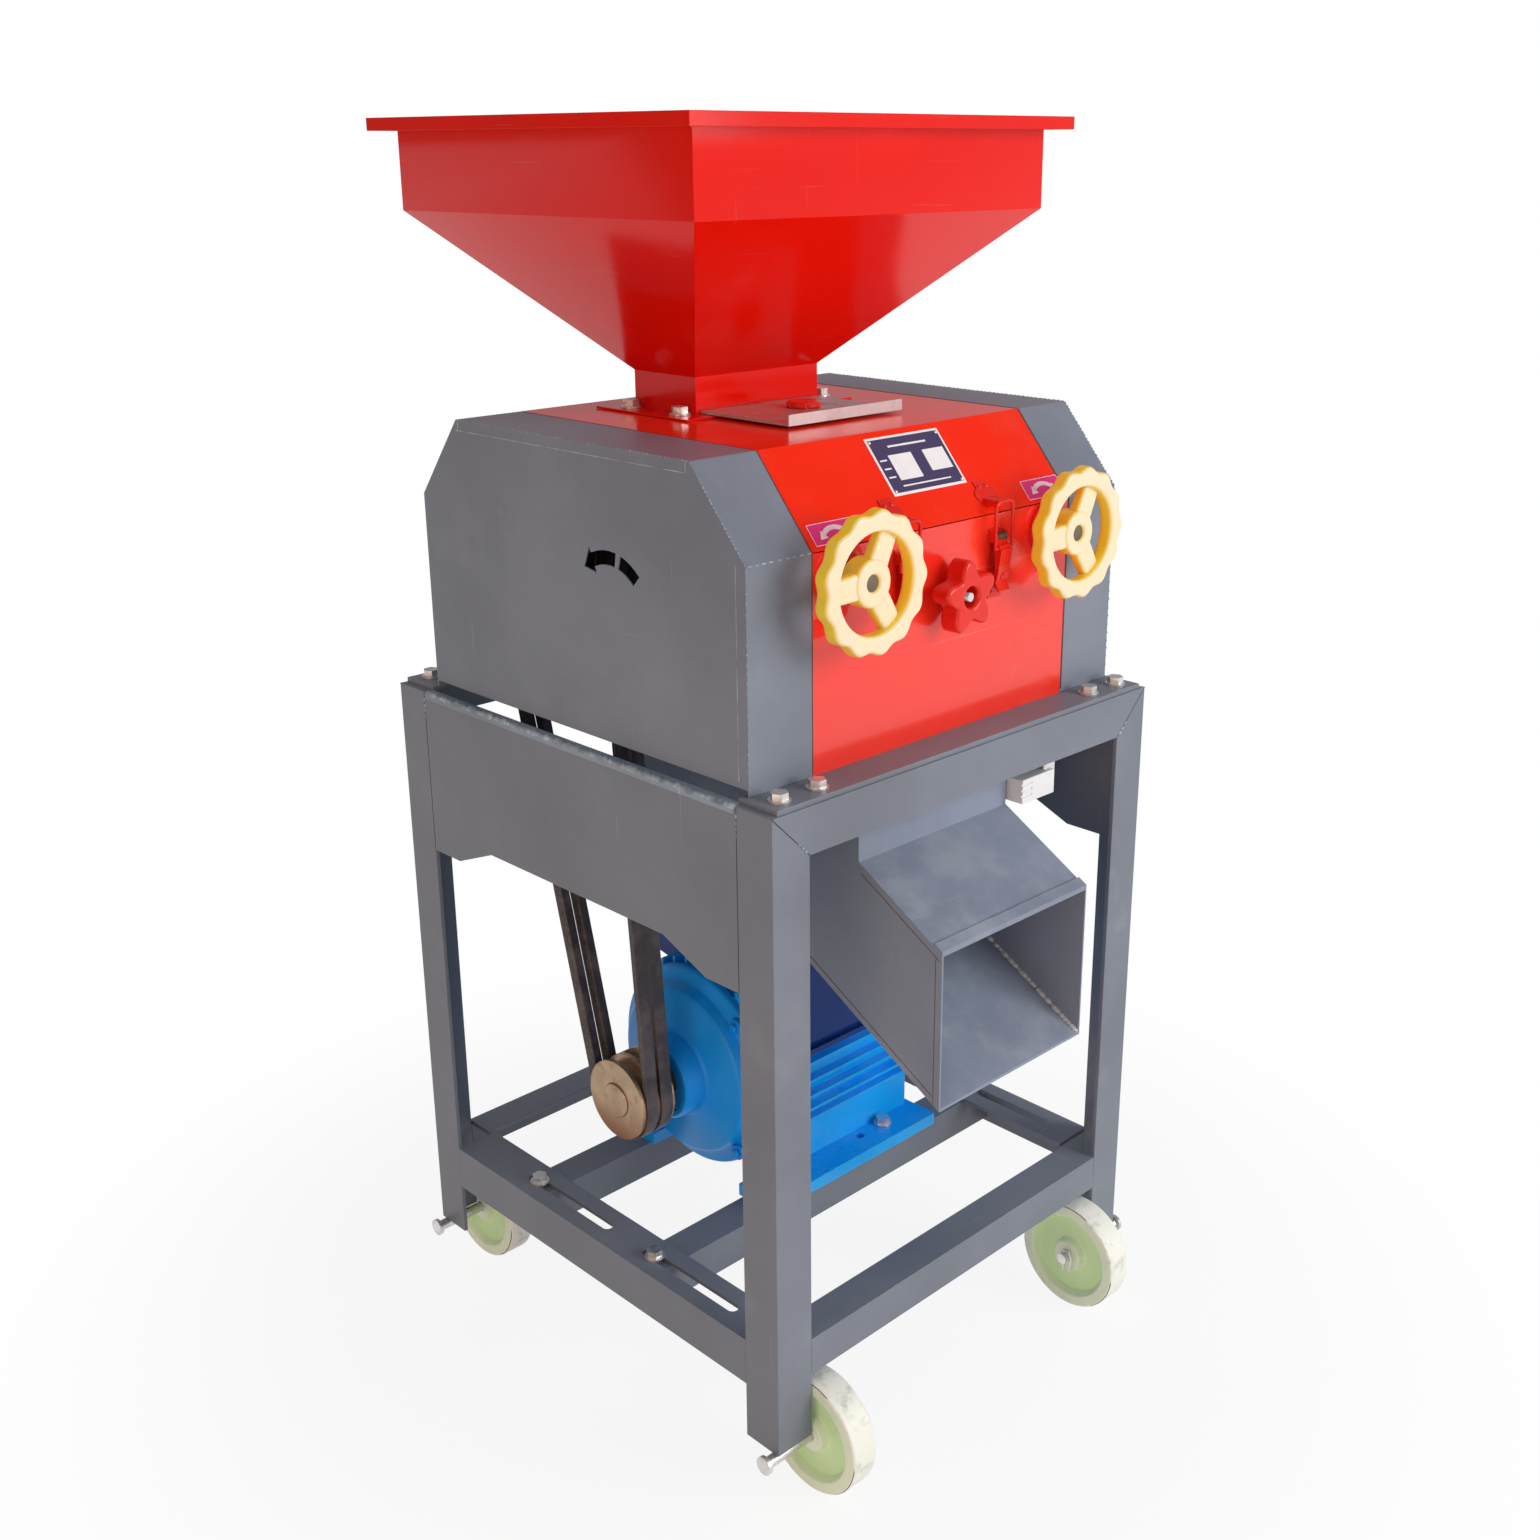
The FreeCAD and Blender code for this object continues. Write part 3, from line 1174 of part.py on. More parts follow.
def build_chute():
    """Sheet duct hung from the mill sides: upright throat, sloping floor and a mouth in front of the stand."""
    body = body_named("discharge_chute")
    half = "Dims.chute_half_width"
    wall = "Dims.sheet_wall"
    front = "(-Dims.chute_front)"
    reach = "(-Dims.chute_reach)"
    top = f"({BAR_TOP} - Dims.seat_gap)"
    low = f"({TOP} - Dims.mouth_bottom)"
    back = "Dims.chute_back"
    back_low = f"({TOP} - 24)"
    outline = [(front, top), (front, f"{TOP} - Dims.chute_kink"), (reach, f"{TOP} - Dims.mouth_top"),
               (reach, low), (back, back_low), (back, top)]
    pad(body, "x", f"-{half}", half, [outline])
    slope = f"((Dims.mouth_top - Dims.chute_kink) / (Dims.chute_reach - Dims.chute_front))"
    hollow = [(f"{front} + {wall}", f"{top} + 1"), (f"{front} + {wall}", f"{TOP} - Dims.chute_kink - {wall} * 0.7"),
              (f"{reach} - 1", f"{TOP} - Dims.mouth_top - {wall} * 1.2 - {slope}"),
              (f"{reach} - 1", f"{low} + {wall} * 1.2"),
              (f"{back} - {wall}", f"{back_low} + {wall} * 1.2"), (f"{back} - {wall}", f"{top} + 1")]
    pocket(body, "x", f"-{half} + {wall}", f"{half} - {wall}", [hollow])
    edge = f"{TOP} - Dims.mouth_top"
    inward, upward = f"{reach} + Dims.mouth_hem", f"Dims.mouth_hem * {slope}"
    hem = [(reach, f"{edge} - 0.5"), (inward, f"{edge} + {upward} - 0.5"),
           (inward, f"{edge} + {upward} + Dims.hem_thick"), (reach, f"{edge} + Dims.hem_thick")]
    pad(body, "x", f"-{half}", half, [hem])
    lip_end = "(Dims.side_centre + Dims.side_thick / 2)"
    lip = rectangle(f"-{lip_end}", lip_end, front, back)
    bore = rectangle(f"-{half} + {wall}", f"{half} - {wall}", f"{front} + {wall}", f"{back} - {wall}")
    pad(body, "z", f"{top} - {wall}", top, [lip, bore])
    finish(body, "discharge_chute")


# Adjusting gear on the front

def handwheel(name, side):
    body = body_named(name)
    x = signed(side, "Dims.side_centre")
    face = "(-Dims.handwheel_face)"
    back = f"({face} + Dims.handwheel_depth)"
    ring = [("circle", x, ROLL_Z, "Dims.wheel_rim_radius"), ("circle", x, ROLL_Z, "Dims.wheel_inner_radius")]
    pad(body, "y", face, back, ring)
    count = int(number("Dims.lobe_count"))
    for index in range(count):
        angle = 360 * index / count
        lobe = ("circle", f"{x} + Dims.lobe_circle * cos({angle})", f"{ROLL_Z} + Dims.lobe_circle * sin({angle})",
                "Dims.lobe_radius")
        pad(body, "y", face, back, [lobe])
    pocket(body, "y", f"{face} - 1", f"{back} + 1", [("circle", x, ROLL_Z, "Dims.wheel_inner_radius")])
    pad(body, "y", "-Dims.hub_face", "-Dims.hub_back", [("circle", x, ROLL_Z, "Dims.handwheel_hub")])
    for angle in (63, 183, 303):
        arm = []
        for radius, offset in (("Dims.handwheel_hub - 4", -6), ("Dims.wheel_inner_radius + 3", -8),
                               ("Dims.wheel_inner_radius + 3", 8), ("Dims.handwheel_hub - 4", 6)):
            across = f"{x} + ({radius}) * cos({angle}) - {offset} * sin({angle})"
            arm.append((across, f"{ROLL_Z} + ({radius}) * sin({angle}) + {offset} * cos({angle})"))
        pad(body, "y", "-Dims.hub_face - 4", "-Dims.hub_back - 6", [arm])
    pocket(body, "y", "-Dims.hub_face - 1", "-Dims.hub_back + 1", [("circle", x, ROLL_Z, "Dims.screw_radius")])
    finish(body, name)


def adjusting_screw(name, side):
    """Screw with a hexagon end in front of the handwheel and a thread in the bearing block."""
    x = signed(side, "Dims.side_centre")
    tip = f"({MOVING_Y} - Dims.block_width / 2 + 4)"
    shank = plain_cylinder(name + "_shank", "y", (x, "-Dims.hub_face - 4", ROLL_Z), "Dims.screw_radius",
                           f"{tip} + Dims.hub_face + 4")
    nut = doc.addObject("Part::Prism", name + "_nut")
    nut.Polygon = 6
    nut.Placement.Rotation = FreeCAD.Rotation(FreeCAD.Vector(1, 0, 0), -90)
    nut.setExpression("Circumradius", "Dims.screw_nut_radius")
    nut.setExpression("Height", "Dims.screw_nut_height")
    nut.setExpression("Placement.Base.x", x)
    nut.setExpression("Placement.Base.y", "-Dims.hub_face - Dims.screw_nut_height")
    nut.setExpression("Placement.Base.z", ROLL_Z)
    finish(joined(name, [shank, nut]), name)


def build_adjusters():
    cups = []
    for side, side_name in ((-1, "left"), (1, "right")):
        handwheel(f"handwheel_{side_name}", side)
        adjusting_screw(f"adjusting_screw_{side_name}", side)
        cup = body_named(f"spring_cup_{side + 1}")
        front = "(-(Dims.body_front + Dims.cup_depth))"
        bore = "(Dims.screw_radius + Dims.shaft_fit)"
        turn(cup, "y", (signed(side, "Dims.side_centre"), ROLL_Z), [
            (front, bore), (front, "Dims.cup_radius - 6"), (f"{front} + 2", "Dims.cup_radius - 2"),
            (f"{front} + 6", "Dims.cup_radius"), ("-Dims.body_front", "Dims.cup_radius"), ("-Dims.body_front", bore)])
        cups.append(cup)
    gathered("spring_cups", cups)

    star = body_named("star_knob")
    height = f"({TOP} + Dims.star_height)"
    back = "(-(Dims.body_front + Dims.star_standoff))"
    front = f"({back} - Dims.star_depth)"
    lobe, circle, waist = (number(f"Dims.star_{word}") for word in ("lobe", "circle", "waist"))
    lean = math.cos(math.radians(36))
    valley = lobe ** 2 - waist ** 2 - circle ** 2 + 2 * circle * waist * lean
    valley /= 2 * (waist - lobe - circle * lean)
    share = lobe / (lobe + valley)
    meet_x = circle + share * ((waist + valley) * lean - circle)
    meet_z = share * (waist + valley) * math.sin(math.radians(36))
    meet_angle = math.degrees(math.atan2(meet_z, meet_x))

    def polar(distance, angle):
        return f"{distance} * cos({angle})", f"{height} + {distance} * sin({angle})"

    corners = []
    for index in range(5):
        tip = 25 + 72 * index
        corners += [polar(math.hypot(meet_x, meet_z), tip + turn_by) for turn_by in (-meet_angle, meet_angle)]
    pad(star, "y", front, back, [corners])
    for index in range(5):
        tip = 25 + 72 * index
        pad(star, "y", front, back, [("circle", *polar(circle, tip), "Dims.star_lobe")])
        pocket(star, "y", f"{front} - 1", f"{back} + 1", [("circle", *polar(waist + valley, tip + 36), str(valley))])
    pocket(star, "y", f"{front} - 1", f"{back} - 8", [("circle", "0", height, "Dims.star_recess")])
    pad(star, "y", f"{front} + 4", "(-(Dims.body_front - 14))", [("circle", "0", height, "Dims.star_stem")])
    finish(star, "star_knob")


# Toggle latches between hood and front panel

def latch_parts(side, side_name):
    x = f"({side} * Dims.latch_x)"
    half = "(Dims.latch_width / 2)"
    wall = "1.5"
    face = "(-Dims.body_front)"
    pivot_y = "(-(Dims.body_front + Dims.latch_standoff))"
    pivot_z = f"({TOP} + Dims.latch_pivot)"
    bail_z = f"({TOP} + Dims.bail_low)"

    base = body_named(f"latch_base_{side_name}")
    low = f"({pivot_z} - Dims.latch_drop - 14)"
    pad(base, "y", f"{face} - {wall}", face, [rectangle(f"{x} - {half}", f"{x} + {half}", low, f"{pivot_z} + 8")])
    for hand in (-1, 1):
        inner, outer = span(hand, f"{half} - {wall}", half)
        ear = [(face, f"{pivot_z} + 7"), (f"{pivot_y} - 3", f"{pivot_z} + 4"), (f"{pivot_y} - 3", f"{pivot_z} - 4"),
               (face, f"{pivot_z} - 6")]
        pad(base, "x", f"{x} + {inner}", f"{x} + {outer}", [ear])
    pad(base, "x", f"{x} - {half}", f"{x} + {half}", [("circle", pivot_y, pivot_z, "Dims.latch_pin")])

    lever = body_named(f"latch_lever_{side_name}")
    reach = f"({half} - {wall} - Dims.seat_gap)"
    barrel = ("circle", pivot_y, pivot_z, "Dims.latch_pin + 2")
    pad(lever, "x", f"{x} - {reach}", f"{x} + {reach}", [barrel])
    blade = [(f"{pivot_y} - 3.4", pivot_z), (f"{pivot_y} - 1.4", pivot_z),
             (f"{pivot_y} - 1.4", f"{pivot_z} - Dims.latch_drop"),
             (f"{pivot_y} - 6", f"{pivot_z} - Dims.latch_drop - 6"),
             (f"{pivot_y} - 7.5", f"{pivot_z} - Dims.latch_drop - 5"),
             (f"{pivot_y} - 3.4", f"{pivot_z} - Dims.latch_drop + 2")]
    pad(lever, "x", f"{x} - {reach}", f"{x} + {reach}", [blade])
    bail_y = f"({pivot_y} - 4.6)"
    lug = ("circle", bail_y, bail_z, "Dims.bail_wire + 1.8")
    pad(lever, "x", f"{x} - {reach}", f"{x} + {reach}", [lug])
    bores = [("circle", pivot_y, pivot_z, "Dims.latch_pin + Dims.shaft_fit"),
             ("circle", bail_y, bail_z, "Dims.bail_wire + Dims.shaft_fit")]
    pocket(lever, "x", f"{x} - {half}", f"{x} + {half}", bores)
    finish(lever, f"latch_lever_{side_name}")

    hook_z = f"({TOP} + Dims.latch_pivot + Dims.latch_reach)"
    wire = "Dims.bail_wire"
    outside = f"({half} + {wire} + 0.6)"
    inside = f"({half} - {wall} - 5)"
    route = [(f"{x} - {inside}", bail_y, bail_z), (f"{x} - {outside}", bail_y, bail_z),
             (f"{x} - {outside}", bail_y, hook_z), (f"{x} + {outside}", bail_y, hook_z),
             (f"{x} + {outside}", bail_y, bail_z), (f"{x} + {inside}", bail_y, bail_z)]
    finish(bent_wire(f"latch_bail_{side_name}", route, wire), f"latch_bail_{side_name}")

    catch = body_named(f"latch_catch_{side_name}")
    rise = "(Dims.bend_high - Dims.bend_low)"
    run = "(Dims.body_front - Dims.bend_front)"

    def on_slope(share, lift):
        along = f"-(Dims.body_front - {share} * {run}) - {lift}"
        return along, f"{SHELL_BEND} + {share} * {rise} + {lift}"

    tip = f"({bail_y} + Dims.bail_wire + Dims.seat_gap)"
    plate = [on_slope(0.06, 0), on_slope(0.34, 0), on_slope(0.34, 1.2), on_slope(0.16, 1.2),
             (f"{tip} + 2", f"{hook_z} + 1.2"), (tip, f"{hook_z} + 2.4"), (tip, f"{hook_z} - 1.6"),
             (f"{tip} + 4", f"{hook_z} - 2.4"), on_slope(0.06, 1.2)]
    pad(catch, "x", f"{x} - {half} + 1.5", f"{x} + {half} - 1.5", [plate])
    return base, catch


def build_latches():
    bases, catches = [], []
    for side, side_name in ((-1, "left"), (1, "right")):
        base, catch = latch_parts(side, side_name)
        bases.append(base)
        catches.append(catch)
    gathered("latch_bases", bases)
    gathered("latch_catches", catches)


# Small plates

def build_plates():
    plate = body_named("nameplate")
    half = "Dims.plate_half_width"
    share_low, share_high = 0.34, 0.94
    rise = "(Dims.bend_high - Dims.bend_low)"
    run = "(Dims.body_front - Dims.bend_front)"

    def on_slope(share, lift):
        along = f"-(Dims.body_front - {share} * {run}) - {lift} * 0.76"
        return along, f"{SHELL_BEND} + {share} * {rise} + {lift} * 0.65"

    outline = [on_slope(share_low, "0"), on_slope(share_high, "0"),
               on_slope(share_high, "Dims.plate_wall"), on_slope(share_low, "Dims.plate_wall")]
    pad(plate, "x", f"-{half}", half, [outline])
    finish(plate, "nameplate")

    bracket = body_named("rail_bracket")
    high = f"({TOP} - Dims.steel_wall)"
    front = f"(-{PANEL_END} - Dims.bracket_depth + 14)"
    rear = f"({front} + Dims.bracket_depth)"
    left, right = "Dims.bracket_left", "Dims.bracket_right"
    pad(bracket, "x", left, right, [[(rear, f"{TOP} - Dims.bracket_low"), (rear, f"{TOP} - 74"),
                                     (front, f"{TOP} - 72"), (front, f"{TOP} - Dims.bracket_low")]])
    arm = rectangle(f"{right} - 10", f"{right} + 8", f"{TOP} - 80", high)
    pad(bracket, "y", f"{front} + 6", f"{front} + 9", [arm])
    for step in (0, 1, 2):
        height = f"{TOP} - 77 - {step * 6}"
        pocket(bracket, "z", f"{height} - 2", height,
               [rectangle(f"{left} - 1", f"{left} + 16", f"{front} - 1", f"{front} + 1.5")])
    finish(bracket, "rail_bracket")


build_stand()
build_wheels()
build_shell()
build_rollers()
build_belt_drive()
build_motor()
build_hopper()
build_chute()
build_adjusters()
build_latches()
build_plates()
doc.recompute()

for item in doc.Objects:
    if "Invalid" in item.State or "Error" in item.State:
        raise RuntimeError(f"{item.Label} did not compute: {item.State}")
for item in exported:
    if item.Shape.isNull() or not item.Shape.isValid():
        raise RuntimeError(f"{item.Label} has no valid shape")
    item.Shape.exportStep(f"parts/{item.Label}.step")
print(len(exported), "parts written")
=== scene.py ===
import json
import math
import random

import bmesh
import bpy
from mathutils import Matrix, Vector


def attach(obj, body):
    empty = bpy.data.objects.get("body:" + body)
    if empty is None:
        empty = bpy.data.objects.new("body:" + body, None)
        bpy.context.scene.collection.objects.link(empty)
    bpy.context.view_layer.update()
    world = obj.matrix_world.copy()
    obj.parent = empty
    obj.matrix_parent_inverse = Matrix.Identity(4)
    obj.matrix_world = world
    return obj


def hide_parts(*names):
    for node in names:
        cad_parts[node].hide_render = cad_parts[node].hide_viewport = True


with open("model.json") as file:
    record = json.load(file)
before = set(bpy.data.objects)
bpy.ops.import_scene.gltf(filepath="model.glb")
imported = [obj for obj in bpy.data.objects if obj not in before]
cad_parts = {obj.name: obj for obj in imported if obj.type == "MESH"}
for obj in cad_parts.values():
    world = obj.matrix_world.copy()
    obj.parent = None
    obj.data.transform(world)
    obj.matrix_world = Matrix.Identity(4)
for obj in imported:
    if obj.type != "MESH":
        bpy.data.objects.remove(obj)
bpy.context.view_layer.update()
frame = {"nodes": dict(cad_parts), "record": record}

# Two-roller grain crusher on a wheeled angle-iron stand. Metres, in the part's own frame.

# Heights, planes and places repeated from the part
TOP = 0.7238
BAR_TOP = 0.7288
ROLL_Z = 0.9058
SHELL_BEND = 0.9318
SHELL_TOP = 1.0118
FRONT = -0.243
FRONT_BEND, REAR_BEND = -0.175, 0.168
BODY_SIDE = 0.179
COVER_SIDE = 0.257
STAND_SIDE, STAND_END = 0.270, 0.285
LEG_WIDTH = 0.045
PANEL_END, PANEL_DEPTH = 0.240, 0.178
LATCH_X = 0.066
LATCH_PIN_Y, LATCH_PIN_Z = -0.2495, 0.9098
KNOB_Z = 0.8658
KNOB_FRONT, KNOB_BACK = -0.273, -0.251
HANDWHEEL_X = 0.145
HANDWHEEL_FRONT, HANDWHEEL_BACK = -0.289, -0.273
MOTOR_Y, MOTOR_Z = 0.022, 0.3063
AXLE_Y, AXLE_Z = 0.278, 0.0625
CHUTE_SIDE = 0.109


# Node helpers

def add(tree, kind, values=(), **settings):
    """A node with its settings and its input values; a value may be another node's output."""
    node = tree.nodes.new(kind)
    for name, value in settings.items():
        setattr(node, name, value)
    for name, value in dict(values).items():
        socket = node.inputs[name]
        if isinstance(value, bpy.types.NodeSocket):
            tree.links.new(value, socket)
        else:
            socket.default_value = value
    return node


def math_node(tree, operation, first, second=0.0, clamp=False):
    node = add(tree, "ShaderNodeMath", {0: first, 1: second}, operation=operation, use_clamp=clamp)
    return node.outputs[0]


def times(tree, first, second, clamp=False):
    return math_node(tree, "MULTIPLY", first, second, clamp)


def plus(tree, first, second, clamp=False):
    return math_node(tree, "ADD", first, second, clamp)


def squared(tree, value):
    return math_node(tree, "POWER", math_node(tree, "ABSOLUTE", value), 2)


def ramp(tree, value, low, high, out_low=0.0, out_high=1.0):
    """Value mapped from low..high to out_low..out_high, with soft ends."""
    node = add(tree, "ShaderNodeMapRange", {"Value": value, "From Min": low, "From Max": high,
                                            "To Min": out_low, "To Max": out_high},
               interpolation_type="SMOOTHSTEP")
    return node.outputs["Result"]


def blend_colour(tree, factor, first, second):
    return add(tree, "ShaderNodeMix", {0: factor, 6: first, 7: second}, data_type="RGBA").outputs[2]


def surface_point(tree, kind="Object"):
    return tree.nodes.new("ShaderNodeTexCoord").outputs[kind]


def part_of(tree, vector, axis):
    return add(tree, "ShaderNodeSeparateXYZ", {0: vector}).outputs[axis]


def place(tree, scale=(1, 1, 1), turn=(0, 0, 0)):
    """Object coordinates, stretched and turned."""
    node = add(tree, "ShaderNodeMapping", {"Vector": surface_point(tree), "Scale": scale, "Rotation": turn})
    return node.outputs["Vector"]


def noise(tree, vector, scale, detail=4.0, roughness=0.55):
    node = add(tree, "ShaderNodeTexNoise", {"Vector": vector, "Scale": scale, "Detail": detail,
                                            "Roughness": roughness})
    return node.outputs["Fac"]


def new_group(name, inputs, outputs):
    group = bpy.data.node_groups.new(name, "ShaderNodeTree")
    for label, value in inputs.items():
        socket = group.interface.new_socket(label, in_out="INPUT", socket_type="NodeSocketFloat")
        socket.default_value = value
    for label in outputs:
        group.interface.new_socket(label, in_out="OUTPUT", socket_type="NodeSocketFloat")
    return group, group.nodes.new("NodeGroupInput").outputs, group.nodes.new("NodeGroupOutput").inputs


def cloud_group():
    """Slow cloudy change over a surface and a fine grain."""
    group, given, out = new_group("cloud_and_grain", {"Cloud Scale": 6.0, "Grain Scale": 400.0},
                                  ("Cloud", "Grain"))
    here = place(group)
    cloud = noise(group, here, given["Cloud Scale"], 5.0)
    group.links.new(ramp(group, cloud, 0.3, 0.7), out["Cloud"])
    group.links.new(noise(group, here, given["Grain Scale"], 2.0), out["Grain"])
    return group


def scuff_group():
    """Thin scratches in three directions, small rubbed patches and wide faint smears."""
    group, given, out = new_group("scuffs", {"Amount": 0.5, "Patch Scale": 9.0}, ("Mask",))
    directions = (((0.3, 0.5, 0.2), (260, 6, 9)),
                  ((1.1, 0.2, 0.9), (9, 230, 7)),
                  ((0.5, 1.3, 0.4), (6, 8, 300)))
    lines = 0.0
    for turn, scale in directions:
        streak = noise(group, place(group, scale, turn), 1.0, 2.0)
        lines = math_node(group, "MAXIMUM", lines, ramp(group, streak, 0.70, 0.735))
    here = place(group)
    where = ramp(group, noise(group, here, 4.0, 3.0), 0.5, 0.62)
    patch = ramp(group, noise(group, here, given["Patch Scale"], 8.0, 0.7), 0.62, 0.7)
    smear = ramp(group, noise(group, here, 7.0, 3.0, 0.6), 0.60, 0.78)
    mark = math_node(group, "MAXIMUM", times(group, lines, where), times(group, patch, 0.5))
    mark = math_node(group, "MAXIMUM", mark, times(group, smear, 0.55))
    group.links.new(times(group, mark, given["Amount"], True), out["Mask"])
    return group


def dust_group():
    """Dust that settles on faces that look up, thicker in clouds."""
    group, given, out = new_group("settled_dust", {"Amount": 0.5, "Everywhere": 0.1}, ("Mask",))
    upward = ramp(group, part_of(group, surface_point(group, "Normal"), "Z"), 0.2, 0.95)
    cloud = ramp(group, noise(group, place(group), 14.0, 8.0, 0.65), 0.42, 0.68)
    base = math_node(group, "MAXIMUM", upward, given["Everywhere"])
    group.links.new(times(group, times(group, base, cloud), given["Amount"], True), out["Mask"])
    return group


def worn_and_highlit_edge_group():
    """Edges that catch knocks, broken up by noise: partly rubbed wear, partly a painted highlight along the
    edges.
    """
    group, given, out = new_group("worn_and_highlit_edges", {"Width": 0.0015, "Amount": 0.6}, ("Mask",))
    normal = group.nodes.new("ShaderNodeNewGeometry").outputs["Normal"]
    rounded = add(group, "ShaderNodeBevel", {"Radius": given["Width"]}, samples=4).outputs[0]
    likeness = add(group, "ShaderNodeVectorMath", {0: normal, 1: rounded}, operation="DOT_PRODUCT")
    edge = ramp(group, likeness.outputs["Value"], 0.97, 0.8)
    broken = ramp(group, noise(group, place(group), 45.0, 6.0, 0.7), 0.42, 0.6)
    group.links.new(times(group, times(group, edge, broken), given["Amount"], True), out["Mask"])
    return group


CLOUD, SCUFFS, DUST, EDGES = cloud_group(), scuff_group(), dust_group(), worn_and_highlit_edge_group()


def use_group(tree, group, **values):
    node = tree.nodes.new("ShaderNodeGroup")
    node.node_tree = group
    for name, value in values.items():
        node.inputs[name.replace("_", " ")].default_value = value
    return node.outputs


# Finishes

def rgb(red, green, blue):
    """Linear colour from 0..255 screen values."""
    def linear(value):
        value /= 255
        return value / 12.92 if value <= 0.04045 else ((value + 0.055) / 1.055) ** 2.4
    return (linear(red), linear(green), linear(blue), 1.0)


def shaded(colour, share):
    return (colour[0] * share, colour[1] * share, colour[2] * share, 1.0)


def new_material(name):
    material = bpy.data.materials.new(name)
    material.use_nodes = True
    tree = material.node_tree
    return material, tree, tree.nodes["Principled BSDF"]


def set_bump(tree, shader, height, strength, distance):
    bump = add(tree, "ShaderNodeBump", {"Height": height, "Strength": strength, "Distance": distance})
    tree.links.new(bump.outputs["Normal"], shader.inputs["Normal"])


def paint(name, colour, roughness, coat=0.0, peel=0.15, peel_scale=260.0, scuff=0.4, scuff_colour=None,
          dust=0.3, dust_colour=None, edge=0.5, edge_colour=None, cloud=0.12, shine=0.5):
    """Paint with clouding, scuffs, settled dust, lighter edges that are partly rubbed wear and partly a
    painted edge highlight, and an orange-peel skin.
    """
    material, tree, shader = new_material(name)
    clouds = use_group(tree, CLOUD, Cloud_Scale=5.0, Grain_Scale=peel_scale)
    tint = blend_colour(tree, clouds["Cloud"], shaded(colour, 1 - cloud), shaded(colour, 1 + cloud))
    scuffs = use_group(tree, SCUFFS, Amount=scuff)["Mask"]
    tint = blend_colour(tree, scuffs, tint, scuff_colour or rgb(185, 185, 182))
    dusty = use_group(tree, DUST, Amount=dust)["Mask"]
    tint = blend_colour(tree, dusty, tint, dust_colour or rgb(196, 188, 174))
    # Lighter edges: partly rubbed wear, partly a painted highlight along the edges.
    if edge:
        edge_wear_and_highlight = use_group(tree, EDGES, Amount=edge)["Mask"]
        tint = blend_colour(tree, edge_wear_and_highlight, tint, edge_colour or rgb(170, 168, 165))
    tree.links.new(tint, shader.inputs["Base Color"])
    rough = plus(tree, times(tree, clouds["Cloud"], 0.08), roughness - 0.04)
    rough = plus(tree, rough, times(tree, dusty, 0.45), True)
    tree.links.new(rough, shader.inputs["Roughness"])
    shader.inputs["Coat Weight"].default_value = coat
    shader.inputs["Coat Roughness"].default_value = 0.06
    shader.inputs["Specular IOR Level"].default_value = shine
    set_bump(tree, shader, clouds["Grain"], peel, 0.0006)
    return material


def bare_metal(name, colour, roughness, stain_colour=None, stain=0.5, metallic=1.0, grain=0.1, dust=0.1):
    """Bare or plated metal with stains."""
    material, tree, shader = new_material(name)
    clouds = use_group(tree, CLOUD, Cloud_Scale=60.0, Grain_Scale=900.0)
    share = times(tree, clouds["Cloud"], stain)
    base = blend_colour(tree, share, colour, stain_colour or shaded(colour, 0.7))
    dusty = use_group(tree, DUST, Amount=dust)["Mask"]
    tree.links.new(blend_colour(tree, dusty, base, rgb(190, 182, 168)), shader.inputs["Base Color"])
    tree.links.new(plus(tree, times(tree, clouds["Cloud"], 0.25), roughness), shader.inputs["Roughness"])
    bare = math_node(tree, "SUBTRACT", metallic, times(tree, share, 0.5), True)
    tree.links.new(bare, shader.inputs["Metallic"])
    set_bump(tree, shader, clouds["Grain"], grain, 0.0004)
    return material


def faced(tree, axis, low, high):
    """Share of a surface that looks along an axis, either way, in the piece's own directions."""
    part = part_of(tree, surface_point(tree, "Normal"), axis)
    return ramp(tree, math_node(tree, "ABSOLUTE", part), low, high)


def handwheel_plastic():
    """Moulded yellow plastic, strong yellow on its sides; the faces that look forward are painted paler, a
    painted highlight as if lit from the front.
    """
    side_colour, lit_face_colour = rgb(255, 224, 52), rgb(253, 232, 196)
    material, tree, shader = new_material("handwheel_ivory")
    clouds = use_group(tree, CLOUD, Cloud_Scale=18.0, Grain_Scale=700.0)
    # Painted highlight: faces that look forward get the paler colour, which stands in for light from the
    # front.
    tint = blend_colour(tree, faced(tree, "Y", 0.25, 0.95), side_colour, lit_face_colour)
    tint = blend_colour(tree, times(tree, clouds["Cloud"], 0.12), tint, shaded(lit_face_colour, 0.75))
    scuffs = use_group(tree, SCUFFS, Amount=0.2, Patch_Scale=30.0)["Mask"]
    tint = blend_colour(tree, scuffs, tint, shaded(side_colour, 0.7))
    dusty = use_group(tree, DUST, Amount=0.1)["Mask"]
    tree.links.new(blend_colour(tree, dusty, tint, rgb(190, 184, 170)), shader.inputs["Base Color"])
    tree.links.new(plus(tree, times(tree, clouds["Cloud"], 0.12), 0.26), shader.inputs["Roughness"])
    set_bump(tree, shader, clouds["Grain"], 0.1, 0.0004)
    return material


